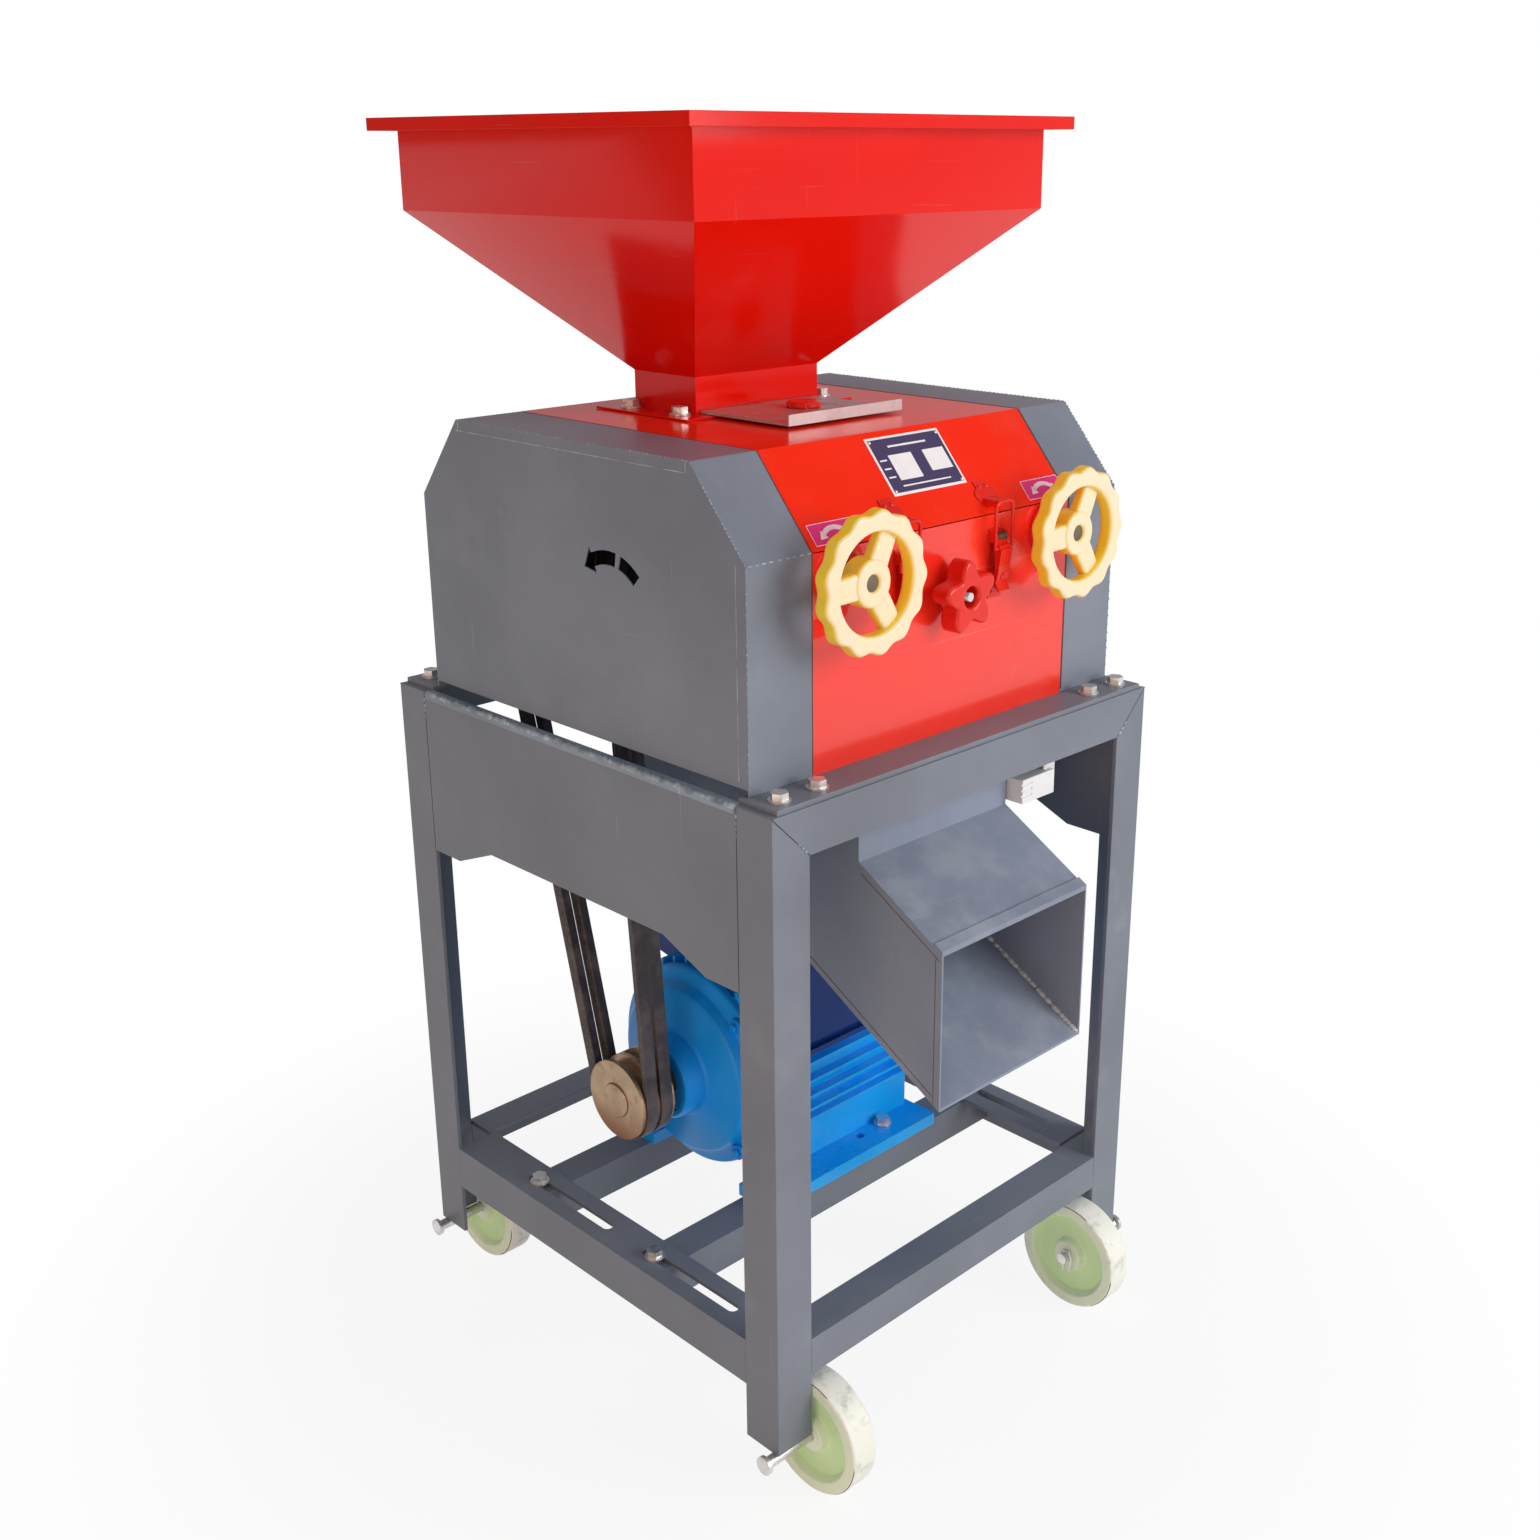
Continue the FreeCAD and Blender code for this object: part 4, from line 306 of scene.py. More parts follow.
def road_wheel_plastic():
    """Pale moulded plastic, greener in the dished web between the hub and the rim."""
    hub, rim, tread = (0.016, 0.023), (0.044, 0.050), (0.0585, 0.061)
    material, tree, shader = new_material("wheel_green")
    clouds = use_group(tree, CLOUD, Cloud_Scale=22.0, Grain_Scale=600.0)
    here = surface_point(tree)
    along = math_node(tree, "SUBTRACT", math_node(tree, "ABSOLUTE", part_of(tree, here, "Y")), AXLE_Y)
    rise = math_node(tree, "SUBTRACT", part_of(tree, here, "Z"), AXLE_Z)
    radius = math_node(tree, "SQRT", plus(tree, squared(tree, along), squared(tree, rise)))
    web = times(tree, ramp(tree, radius, rim[1], rim[0]), ramp(tree, radius, *hub))
    tint = blend_colour(tree, web, rgb(240, 254, 228), rgb(218, 250, 194))
    on_tread = ramp(tree, radius, *tread)
    tint = blend_colour(tree, on_tread, tint, rgb(248, 250, 240))
    dirt = ramp(tree, noise(tree, here, 60.0, 6.0, 0.65), 0.5, 0.72)
    dirt = times(tree, dirt, plus(tree, times(tree, on_tread, 0.35), 0.12))
    tree.links.new(blend_colour(tree, dirt, tint, rgb(150, 160, 140)), shader.inputs["Base Color"])
    tree.links.new(plus(tree, times(tree, clouds["Cloud"], 0.15), 0.35), shader.inputs["Roughness"])
    set_bump(tree, shader, clouds["Grain"], 0.1, 0.0004)
    return material


def belt_rubber():
    """Black covered belt whose cut sides show frayed tan cloth."""
    material, tree, shader = new_material("belt_rubber")
    here = place(tree)
    fray = ramp(tree, noise(tree, place(tree, (40, 14, 14)), 22.0, 6.0, 0.7), 0.4, 0.62)
    cloth = times(tree, times(tree, faced(tree, "X", 0.5, 0.9), fray), 0.22)
    worn = ramp(tree, noise(tree, here, 30.0, 6.0), 0.45, 0.7)
    black = blend_colour(tree, worn, rgb(54, 50, 58), rgb(96, 90, 94))
    tree.links.new(blend_colour(tree, cloth, black, rgb(160, 140, 112)), shader.inputs["Base Color"])
    tree.links.new(plus(tree, times(tree, worn, 0.2), 0.55), shader.inputs["Roughness"])
    set_bump(tree, shader, noise(tree, here, 900.0, 2.0), 0.5, 0.0006)
    return material


def cast_iron(name, colour, rust_colour, low, high):
    """Machined and cast iron that rusts towards its lower side, between two heights."""
    material, tree, shader = new_material(name)
    clouds = use_group(tree, CLOUD, Cloud_Scale=40.0, Grain_Scale=500.0)
    here = surface_point(tree)
    drop = ramp(tree, part_of(tree, here, "Z"), high, low)
    spots = ramp(tree, noise(tree, here, 75.0, 7.0, 0.7), 0.5, 0.7)
    rust = math_node(tree, "MAXIMUM", times(tree, drop, 0.8), times(tree, spots, 0.5))
    turned = blend_colour(tree, clouds["Cloud"], shaded(colour, 0.85), shaded(colour, 1.12))
    tree.links.new(blend_colour(tree, rust, turned, rust_colour), shader.inputs["Base Color"])
    bare = math_node(tree, "SUBTRACT", 0.75, times(tree, rust, 0.6), True)
    tree.links.new(bare, shader.inputs["Metallic"])
    tree.links.new(plus(tree, times(tree, rust, 0.3), 0.35), shader.inputs["Roughness"])
    set_bump(tree, shader, clouds["Grain"], 0.3, 0.0005)
    return material


def printed(name, colour, roughness=0.35, wear=0.15):
    """Printed film or enamel with light wear."""
    material, tree, shader = new_material(name)
    clouds = use_group(tree, CLOUD, Cloud_Scale=70.0, Grain_Scale=900.0)
    tint = blend_colour(tree, times(tree, clouds["Cloud"], 0.25), colour, shaded(colour, 0.82))
    scuffs = use_group(tree, SCUFFS, Amount=wear, Patch_Scale=60.0)["Mask"]
    tree.links.new(blend_colour(tree, scuffs, tint, rgb(215, 212, 210)), shader.inputs["Base Color"])
    tree.links.new(plus(tree, times(tree, clouds["Cloud"], 0.1), roughness), shader.inputs["Roughness"])
    return material


# Grey paints
grey_paint = paint("grey_paint", rgb(120, 126, 138), 0.42, peel=0.10, shine=0.35, scuff=0.30, dust=0.10,
                   scuff_colour=rgb(172, 174, 178), dust_colour=rgb(150, 148, 146))
cover_grey = paint("cover_grey", rgb(126, 134, 148), 0.36, peel=0.06, shine=0.25, scuff=0.26, dust=0.03,
                   scuff_colour=rgb(166, 170, 178), dust_colour=rgb(140, 136, 140),
                   edge_colour=rgb(180, 188, 198))
chute_grey = paint("chute_grey", rgb(136, 146, 166), 0.36, peel=0.08, shine=0.35, scuff=0.25, dust=0.5,
                   scuff_colour=rgb(186, 190, 198), dust_colour=rgb(168, 176, 188),
                   edge=0.6, edge_colour=rgb(200, 206, 216))
fold_grey = paint("fold_grey", rgb(134, 150, 168), 0.45, peel=0.9, peel_scale=120, cloud=0.25, scuff=0.9,
                  scuff_colour=rgb(196, 206, 214), dust=0.3, dust_colour=rgb(160, 170, 182), edge=0.6)
shadow_grey = paint("shadow_grey", rgb(48, 46, 48), 0.6, peel=0.1, scuff=0.1, dust=0.1, edge=0)
seam_brown = paint("seam_brown", rgb(110, 82, 60), 0.6, peel=0.1, scuff=0.2, dust=0.2, edge=0)

# Red and orange paints
hopper_red = paint("hopper_red", rgb(232, 20, 6), 0.14, peel=0.02, peel_scale=120, shine=0.2, cloud=0.03,
                   scuff=0.05, dust=0.02, edge=0.35, edge_colour=rgb(240, 60, 40))
hood_orange = paint("hood_orange", rgb(248, 44, 14), 0.14, peel=0.05, peel_scale=230, shine=0.12, cloud=0.03,
                    scuff=0.04, dust=0.03, edge=0.3, edge_colour=rgb(246, 96, 70))
panel_orange = paint("panel_orange", rgb(248, 46, 26), 0.22, coat=0.5, peel=0.5, peel_scale=150, cloud=0.04,
                     scuff=0.10, dust=0.06, edge=0.3, edge_colour=rgb(246, 116, 94))
fitting_red = paint("fitting_red", rgb(226, 30, 14), 0.22, coat=0.15, peel=0.10, shine=0.35,
                    scuff=0.15, dust=0.05, edge=0.35, edge_colour=rgb(240, 120, 96))

# Motor paints
motor_blue = paint("motor_blue", rgb(4, 172, 255), 0.30, coat=0.15, peel=0.35, peel_scale=170, shine=0.3,
                   scuff=0.30, scuff_colour=rgb(140, 205, 245), dust=0.35, dust_colour=rgb(116, 190, 234),
                   edge=0.35, edge_colour=rgb(120, 200, 245))
bell_blue = paint("bell_blue", rgb(0, 152, 248), 0.36, peel=0.45, peel_scale=150, shine=0.3,
                  scuff=0.2, scuff_colour=rgb(90, 165, 215), dust=0.15, dust_colour=rgb(90, 160, 205),
                  edge=0.3, edge_colour=rgb(70, 160, 225))
box_navy = paint("box_navy", rgb(0, 58, 140), 0.24, peel=0.2, shine=0.2, scuff=0.15, dust=0.06,
                 dust_colour=rgb(106, 116, 150), edge=0.4, edge_colour=rgb(130, 130, 165))

# Metals
zinc = bare_metal("zinc", rgb(224, 222, 224), 0.20, rgb(184, 176, 160), 0.4, metallic=0.9)
screw_steel = bare_metal("screw_steel", rgb(120, 108, 90), 0.35, rgb(84, 72, 58), 0.6, metallic=0.8)
gate_steel = bare_metal("gate_steel", rgb(206, 196, 196), 0.28, rgb(176, 156, 150), 0.6, metallic=0.8,
                        dust=0.3)
roller_steel = bare_metal("roller_steel", rgb(150, 150, 152), 0.35)
dark_iron = bare_metal("dark_iron", rgb(86, 86, 88), 0.5, metallic=0.6)
weld_grey = bare_metal("weld_grey", rgb(186, 198, 210), 0.45, rgb(112, 126, 142), 0.9, metallic=0.2,
                       grain=0.6)
driven_iron = cast_iron("driven_iron", rgb(128, 118, 104), rgb(104, 74, 48), 0.80, 0.86)
motor_iron = cast_iron("motor_iron", rgb(178, 152, 124), rgb(132, 80, 44), 0.255, 0.31)

# Plastics, rubber, print and dust
handwheel_ivory = handwheel_plastic()
wheel_green = road_wheel_plastic()
belt_black = belt_rubber()
black_plastic = paint("black_plastic", rgb(30, 30, 32), 0.5, peel=0.1, edge=0)
bracket_white = paint("bracket_white", rgb(232, 234, 236), 0.45, scuff=0.2, scuff_colour=rgb(170, 170, 172),
                      dust=0.1, edge=0.2)
mill_dust = paint("mill_dust", rgb(200, 208, 212), 0.85, peel=0.8, peel_scale=300, scuff=0.2, edge=0)
plate_violet = printed("plate_violet", rgb(66, 56, 98))
plate_white = printed("plate_white", rgb(248, 248, 250), 0.3)
label_magenta = printed("label_magenta", rgb(228, 30, 128), 0.3, 0.05)
label_white = printed("label_white", rgb(246, 232, 240), 0.3, 0.05)


# Pieces

MERGE_GAP = 1e-6
FLAT_ANGLE = math.radians(0.5)


def body_of(node):
    return next(body for body, nodes in frame["record"]["behaviour"]["bodies"].items() if node in nodes)


def finished(name, shape, material, body, smooth=35.0, in_place_of=(), bevel=0.0, segments=2):
    """A bmesh made into a piece that rides on a body."""
    mesh = bpy.data.meshes.new(name)
    shape.to_mesh(mesh)
    shape.free()
    mesh.materials.append(material)
    if smooth:
        mesh.shade_smooth()
        mesh.set_sharp_from_angle(angle=math.radians(smooth))
    piece = bpy.data.objects.new(name, mesh)
    bpy.context.scene.collection.objects.link(piece)
    if bevel:
        soften = piece.modifiers.new("soft_edges", "BEVEL")
        soften.width = bevel
        soften.segments = segments
        soften.limit_method = "ANGLE"
        soften.angle_limit = math.radians(32)
        soften.harden_normals = True
    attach(piece, body)
    if in_place_of:
        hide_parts(*in_place_of)


def softened(node, material, width, segments):
    """The CAD node's own shape with its sharp edges broken."""
    shape = bmesh.new()
    shape.from_mesh(frame["nodes"][node].data)
    bmesh.ops.remove_doubles(shape, verts=shape.verts, dist=MERGE_GAP)
    bmesh.ops.dissolve_limit(shape, angle_limit=FLAT_ANGLE, verts=shape.verts, edges=shape.edges)
    finished(node + "_shape", shape, material, body_of(node), 32.0, (node,), width, segments)


def coated(node, material):
    """The CAD node as it is, in a better material."""
    piece = frame["nodes"][node]
    if piece.material_slots:
        for slot in piece.material_slots:
            slot.material = material
    else:
        piece.data.materials.append(material)


# Finish, width and segments of the broken edges, nodes
SOFT_EDGED = (
    (grey_paint, 0.0007, 2, "leg_front_left leg_front_right leg_rear_left leg_rear_right top_cross_rails "
     "side_panels bottom_rail_left bottom_rail_right bottom_cross_rails motor_rails base_bars"),
    (cover_grey, 0.0007, 2, "belt_cover gear_cover"),
    (chute_grey, 0.0006, 2, "discharge_chute"),
    (hopper_red, 0.0007, 2, "hopper"),
    (hood_orange, 0.0006, 2, "hood rear_panel"),
    (panel_orange, 0.0005, 2, "front_panel"),
    (fitting_red, 0.0003, 2, "spring_cups latch_bases latch_catches latch_lever_left latch_lever_right"),
    (fitting_red, 0.0016, 4, "gate_knob"),
    (zinc, 0.0004, 2, "flange_bolts hopper_bolts axle_pins retaining_clips hood_hinge_pins"),
    (screw_steel, 0.0008, 3, "adjusting_screw_left adjusting_screw_right"),
    (gate_steel, 0.0004, 2, "feed_gate"),
    (driven_iron, 0.0005, 2, "driven_pulley"),
    (motor_iron, 0.0005, 2, "motor_pulley"),
    (belt_black, 0.0009, 2, "drive_belts"),
    (motor_blue, 0.0010, 2, "motor_body fan_cowl"),
    (box_navy, 0.0030, 4, "terminal_box"),
    (bracket_white, 0.0005, 2, "rail_bracket"),
    (wheel_green, 0.0018, 3, "wheel_front_left wheel_front_right wheel_rear_left wheel_rear_right"),
)
AS_THEY_ARE = (
    (grey_paint, "mill_side_left mill_side_right"),
    (roller_steel, "fixed_roller adjustable_roller fixed_roller_gear adjustable_roller_gear"),
    (dark_iron, "fixed_bearings sliding_bearing_blocks"),
    (motor_iron, "motor_rotor"),
    (black_plastic, "motor_fan"),
)


def dress_cad_pieces():
    for material, width, segments, nodes in SOFT_EDGED:
        for node in nodes.split():
            softened(node, material, width, segments)
    for material, nodes in AS_THEY_ARE:
        for node in nodes.split():
            coated(node, material)


# Places on the machine

def facing(origin, across, up):
    """Place on a surface: x across it, y up it and z out of it."""
    across, up = Vector(across).normalized(), Vector(up).normalized()
    turn = Matrix((across, up, across.cross(up))).transposed().to_4x4()
    return Matrix.Translation(origin) @ turn


def to_front(x, y, z):
    return facing((x, y, z), (1, 0, 0), (0, 0, 1))


def to_side(side, x, y, z):
    return facing((side * x, y, z), (0, side, 0), (0, 0, 1))


def to_sky(x, y, z):
    return facing((x, y, z), (1, 0, 0), (0, 1, 0))


def lifted(where, height):
    return where @ Matrix.Translation((0, 0, height))


SLOPE_RUN, SLOPE_RISE = FRONT_BEND - FRONT, SHELL_TOP - SHELL_BEND


def hood_slope(across, share):
    """Place on the hood's slope; share runs from its lower to its upper fold."""
    foot = (across, FRONT + share * SLOPE_RUN, SHELL_BEND + share * SLOPE_RISE)
    return facing(foot, (1, 0, 0), (0, SLOPE_RUN, SLOPE_RISE))


# Small shapes

def put_slab(shape, where, width, height, thick, across=0.0, up=0.0, lift=0.0, turn=0.0):
    """A thin plate that lies on a surface."""
    sized = Matrix.Diagonal((width, height, thick, 1))
    moved = Matrix.Translation((across, up, lift + thick / 2)) @ Matrix.Rotation(turn, 4, "Z")
    bmesh.ops.create_cube(shape, size=1.0, matrix=where @ moved @ sized)


def put_disc(shape, where, radius, thick, sides, turn=0.0):
    moved = Matrix.Translation((0, 0, thick / 2)) @ Matrix.Rotation(turn, 4, "Z")
    bmesh.ops.create_cone(shape, cap_ends=True, cap_tris=False, segments=sides, radius1=radius,
                          radius2=radius, depth=thick, matrix=where @ moved)


def put_dome(shape, where, radius, rise, across=0.0, up=0.0):
    """Domed rivet head, sunk to half in its surface."""
    moved = Matrix.Translation((across, up, 0)) @ Matrix.Diagonal((1, 1, rise / radius, 1))
    bmesh.ops.create_icosphere(shape, subdivisions=2, radius=radius, matrix=where @ moved)


def put_beads(shape, start, end, count, length, width, rise, seed, loose=0.25):
    """A row of short weld beads along an edge."""
    dice = random.Random(seed)
    start, end = Vector(start), Vector(end)
    turn = (end - start).normalized().to_track_quat("X", "Z").to_matrix().to_4x4()
    for step in range(count):
        share = (step + 0.5 + loose * (dice.random() - 0.5)) / count
        size = 0.75 + 0.5 * dice.random()
        sized = Matrix.Diagonal((length / 2 * size, width / 2 * size, rise * size, 1))
        bmesh.ops.create_icosphere(shape, subdivisions=1, radius=1.0,
                                   matrix=Matrix.Translation(start.lerp(end, share)) @ turn @ sized)


def put_formed_ring(shape, centre, outline, inner, front, back, steps):
    """Plate between two planes across Y, with a formed outer edge and a round hole."""
    upright = Matrix.Translation((centre[0], front, centre[1])) @ Matrix.Rotation(math.radians(90), 4, "X")
    rims = []
    for reach in (outline, lambda angle: inner):
        rim = bmesh.ops.create_circle(shape, cap_ends=False, segments=steps, radius=1.0, matrix=upright)
        for corner in rim["verts"]:
            across, rise = corner.co.x - centre[0], corner.co.z - centre[1]
            size = reach(math.atan2(rise, across))
            corner.co.x, corner.co.z = centre[0] + across * size, centre[1] + rise * size
        rims += list({edge for corner in rim["verts"] for edge in corner.link_edges})
    faces = bmesh.ops.bridge_loops(shape, edges=rims)["faces"]
    grown = bmesh.ops.extrude_face_region(shape, geom=faces)["geom"]
    corners = [item for item in grown if isinstance(item, bmesh.types.BMVert)]
    bmesh.ops.translate(shape, verts=corners, vec=(0, back - front, 0))


def put_bar(shape, where, length, width, thick, taper):
    """A bar along x that starts at its place, narrower or wider at its far end."""
    sized = Matrix.Translation((length / 2, 0, 0)) @ Matrix.Diagonal((length, width, thick, 1))
    made = bmesh.ops.create_cube(shape, size=1.0, matrix=where @ sized)["verts"]
    start = where.translation
    far = sorted(made, key=lambda corner: (corner.co - start).length)[4:]
    middle = sum((corner.co for corner in far), Vector()) / 4
    for corner in far:
        corner.co = middle + (corner.co - middle) * taper


# Print and labels

def build_nameplate():
    """Violet plate with a white edge, two bare white fields, plain bars and four rivets."""
    where = hood_slope(0, 0.64)
    width, height, thick, margin, rivet_inset = 0.1006, 0.0620, 0.0009, 0.0026, 0.0045
    film, ink = 0.0002, 0.00015
    # Sizes across and up, then places across and up
    blanks = ((0.031, 0.027, -0.0165, -0.003), (0.029, 0.023, 0.0290, -0.001))
    bars = [(0.0090, 0.0016, -0.0405, 0.006 - 0.009 * row) for row in range(3)]
    bars += [(0.052, 0.0020, 0.0, 0.0195), (0.066, 0.0015, 0.0, -0.0225)]
    base = bmesh.new()
    put_slab(base, where, width, height, thick)
    finished("nameplate_edge", base, plate_white, "hood_group", None, ("nameplate",), 0.0003)
    ground = bmesh.new()
    put_slab(ground, where, width - 2 * margin, height - 2 * margin, film, lift=thick)
    finished("nameplate_ground", ground, plate_violet, "hood_group", None)
    fields = bmesh.new()
    for marks, mark_thick in ((blanks, film), (bars, ink)):
        for mark_width, mark_height, across, up in marks:
            put_slab(fields, where, mark_width, mark_height, mark_thick, across, up, thick + film)
    finished("nameplate_fields", fields, plate_white, "hood_group", None)
    rivets = bmesh.new()
    for side in (-1, 1):
        for end in (-1, 1):
            put_dome(rivets, lifted(where, thick), 0.0019, 0.0012,
                     side * (width / 2 - rivet_inset), end * (height / 2 - rivet_inset))
    finished("nameplate_rivets", rivets, zinc, "hood_group", 60.0)


def build_arrow_labels():
    """A small magenta label with a white double arrow beside each handwheel."""
    width, height, film, ink, line = 0.057, 0.0215, 0.0003, 0.00012, 0.0006
    bow, bow_centre, bow_step = 0.0205, -0.0160, math.radians(10)
    tip_across, tip_up, tip_size, tip_turn = 0.0150, -0.0022, 0.0056, math.radians(90) + 0.6
    for side, middle in (("left", -0.1425), ("right", 0.1500)):
        where = hood_slope(middle, 0.145)
        label = bmesh.new()
        put_slab(label, where, width, height, film)
        finished(f"label_{side}", label, label_magenta, "hood_group", None)
        arrow = bmesh.new()
        for end in (-1, 1):
            put_slab(arrow, where, width, line, ink, 0, end * (height - line) / 2, film)
            put_slab(arrow, where, line, height, ink, end * (width - line) / 2, 0, film)
            tip = where @ Matrix.Translation((end * tip_across, tip_up, film))
            put_disc(arrow, tip, tip_size, ink, sides=3, turn=-end * tip_turn)
        for step in range(-4, 5):
            bend = step * bow_step
            put_slab(arrow, where, 0.0044, 0.0046, ink, bow * math.sin(bend),
                     bow_centre + bow * math.cos(bend), film, -bend)
        finished(f"label_{side}_arrow", arrow, label_white, "hood_group", None)


# Welds, seams and gaps

def build_cover_welds():
    """Stitch welds and fold lines on the two side covers."""
    line, flap = 0.0008, 0.0105
    for side, name in ((-1, "left"), (1, "right")):
        edge = side * COVER_SIDE
        foot, fold = (edge, FRONT, BAR_TOP + 0.01), (edge, FRONT, SHELL_BEND)
        top_front, top_rear = (edge, FRONT_BEND, SHELL_TOP), (edge, REAR_BEND, SHELL_TOP)
        welds = bmesh.new()
        put_beads(welds, (side * BODY_SIDE, FRONT, SHELL_BEND), fold, 9, 0.0058, 0.0016, 0.0009, seed=3)
        put_beads(welds, fold, top_front, 26, 0.0030, 0.0010, 0.0006, seed=5)
        put_beads(welds, foot, fold, 22, 0.0024, 0.0008, 0.0005, seed=7)
        put_beads(welds, top_front, top_rear, 60, 0.0030, 0.0009, 0.0005, seed=9)
        finished(f"cover_welds_{name}", welds, weld_grey, "stand", 60.0)
        lines = bmesh.new()
        wall = to_side(side, COVER_SIDE, 0, 0)
        put_slab(lines, wall, line, SHELL_BEND - BAR_TOP - 0.012, 0.0002, side * (FRONT + 0.0125),
                 (SHELL_BEND + BAR_TOP) / 2 + 0.006)
        put_slab(lines, wall, 0.336, line, 0.0002, 0.0, SHELL_TOP - flap)
        for end in (FRONT_BEND + 0.0045, REAR_BEND - 0.004):
            put_slab(lines, wall, 0.0010, flap, 0.0003, side * end, SHELL_TOP - 0.0055)
        finished(f"cover_fold_{name}", lines, weld_grey, "stand", None)


def build_frame_welds():
    """Mitre lines, seams where the side panels meet the legs and each panel's rough folded top."""
    mitre_length, seam, film = 0.0637, 0.0007, 0.0001
    fold_length, fold_half = 0.474, 0.236
    seams, beads = bmesh.new(), bmesh.new()
    for side, name in ((-1, "left"), (1, "right")):
        for end in (-1, 1):
            corner = Vector((side * STAND_SIDE, end * STAND_END, TOP))
            mitre_middle = (side * (STAND_SIDE - LEG_WIDTH / 2), end * STAND_END, TOP - LEG_WIDTH / 2)
            mitre = facing(mitre_middle, (-end, 0, 0), (0, 0, 1))
            put_slab(seams, mitre, mitre_length, 0.0009, film, turn=math.radians(-45 * side * end))
            inward = Vector((-side, 0, -1))
            put_beads(beads, corner + 0.030 * inward, corner + 0.043 * inward, 3, 0.0050, 0.0030, 0.0010,
                      seed=11 + side + end)
            joint = to_side(side, STAND_SIDE, end * PANEL_END, TOP - PANEL_DEPTH / 2)
            put_slab(seams, joint, seam, PANEL_DEPTH - 0.002, film)
            put_beads(beads, (side * STAND_SIDE, end * PANEL_END, TOP - 0.006),
                      (side * STAND_SIDE, end * PANEL_END, TOP - 0.030), 4, 0.0050, 0.0022, 0.0008,
                      seed=13 + side)
        rough = Vector((side * 0.2688, 0, TOP - 0.0012))
        reach = Vector((0, fold_half, 0))
        put_beads(beads, rough - reach, rough + reach, 64, 0.0120, 0.0075, 0.0034, seed=17 + side, loose=0.95)
        fold = bmesh.new()
        put_slab(fold, to_side(side, STAND_SIDE, 0, TOP - 0.0036), fold_length, 0.0075, 0.0006)
        put_slab(fold, to_sky(side * 0.2656, 0, TOP), 0.0090, fold_length, 0.0008)
        finished(f"panel_fold_{name}", fold, fold_grey, "stand", None, bevel=0.0004)
    finished("frame_seams", seams, shadow_grey, "stand", None)
    finished("frame_welds", beads, weld_grey, "stand", 60.0)


def build_shadow_gaps():
    """Dark gaps between the hood and the two covers."""
    film = 0.0002
    gaps = bmesh.new()
    for side, width in ((-1, 0.0010), (1, 0.0022)):
        across = side * (BODY_SIDE + 0.0007)
        put_slab(gaps, to_sky(across, -0.004, SHELL_TOP), width, 0.340, film)
        put_slab(gaps, hood_slope(across, 0.5), width, 0.104, film)
        front = to_front(across, FRONT, (SHELL_BEND + BAR_TOP) / 2 + 0.002)
        put_slab(gaps, front, width, SHELL_BEND - BAR_TOP - 0.004, film)
    finished("shadow_gaps", gaps, shadow_grey, "stand", None)


def build_chute_seams():
    """Meal dust along the corners of the chute's floor and seam lines on its two walls."""
    floor_front, floor_rear = Vector((0, -0.337, 0.4012)), Vector((0, 0.190, 0.6965))
    roof_front, roof_kink = Vector((0, -0.339, 0.5618)), Vector((0, -0.233, 0.6228))
    dust_inset, dust_rise, film = 0.0026, 0.0022, 0.0002
    dust = bmesh.new()
    for side, dust_width in ((-1, 0.0045), (1, 0.0075)):
        shift = Vector((side * (CHUTE_SIDE - dust_inset), 0, dust_rise))
        put_beads(dust, floor_front + shift, floor_rear + shift, 120, 0.0100, dust_width, dust_rise,
                  seed=23 + side, loose=0.8)
    finished("chute_floor_dust", dust, mill_dust, "stand", 60.0)
    lines = bmesh.new()
    floor_run, roof_run = floor_rear - floor_front, roof_kink - roof_front
    floor_middle, roof_middle = (floor_front + floor_rear) / 2, (roof_front + roof_kink) / 2
    inward = Vector((-1, 0, 0))
    for side in (-1, 1):
        wall = Vector((side * CHUTE_SIDE, 0, 0))
        along_floor = facing(wall + floor_middle, floor_run * side, floor_run.cross(inward))
        put_slab(lines, along_floor, floor_run.length * 0.96, 0.0010, film, up=0.0065)
        put_slab(lines, to_side(side, CHUTE_SIDE, -0.331, 0.4803), 0.0008, 0.150, film)
        under_roof = wall + roof_middle - Vector((0, 0, 0.009))
        put_slab(lines, facing(under_roof, roof_run * side, roof_run.cross(inward)), 0.115, 0.0009, film)
    finished("chute_side_seams", lines, seam_brown, "stand", None)


# Handles and latches

def build_handwheels():
    """Moulded wheels with a waved, rounded rim, three broad arms and a hub."""
    rim, wave, waves, rim_hole = 0.0630, 0.0020, 13, 0.0455
    hub, hub_hole, hub_front, hub_back = 0.0222, 0.0075, -0.2845, -0.262
    arm_y, arm_start = -0.2765, 0.012
    for side, name in ((-1, "left"), (1, "right")):
        centre = (side * HANDWHEEL_X, ROLL_Z)
        wheel = bmesh.new()
        put_formed_ring(wheel, centre, lambda angle: rim + wave * math.cos(waves * angle), rim_hole,
                        HANDWHEEL_FRONT, HANDWHEEL_BACK, waves * 12)
        put_formed_ring(wheel, centre, lambda angle: hub, hub_hole, hub_front, hub_back, 48)
        for angle in (63, 183, 303):
            turned = to_front(centre[0], arm_y, centre[1]) @ Matrix.Rotation(math.radians(angle), 4, "Z")
            put_bar(wheel, turned @ Matrix.Translation((arm_start, 0, 0)), 0.038, 0.0250, 0.0130, taper=0.9)
        bmesh.ops.recalc_face_normals(wheel, faces=wheel.faces)
        finished(f"handwheel_{name}_shape", wheel, handwheel_ivory, f"{name}_adjuster", 40.0,
                 (f"handwheel_{name}",), 0.0042, 5)


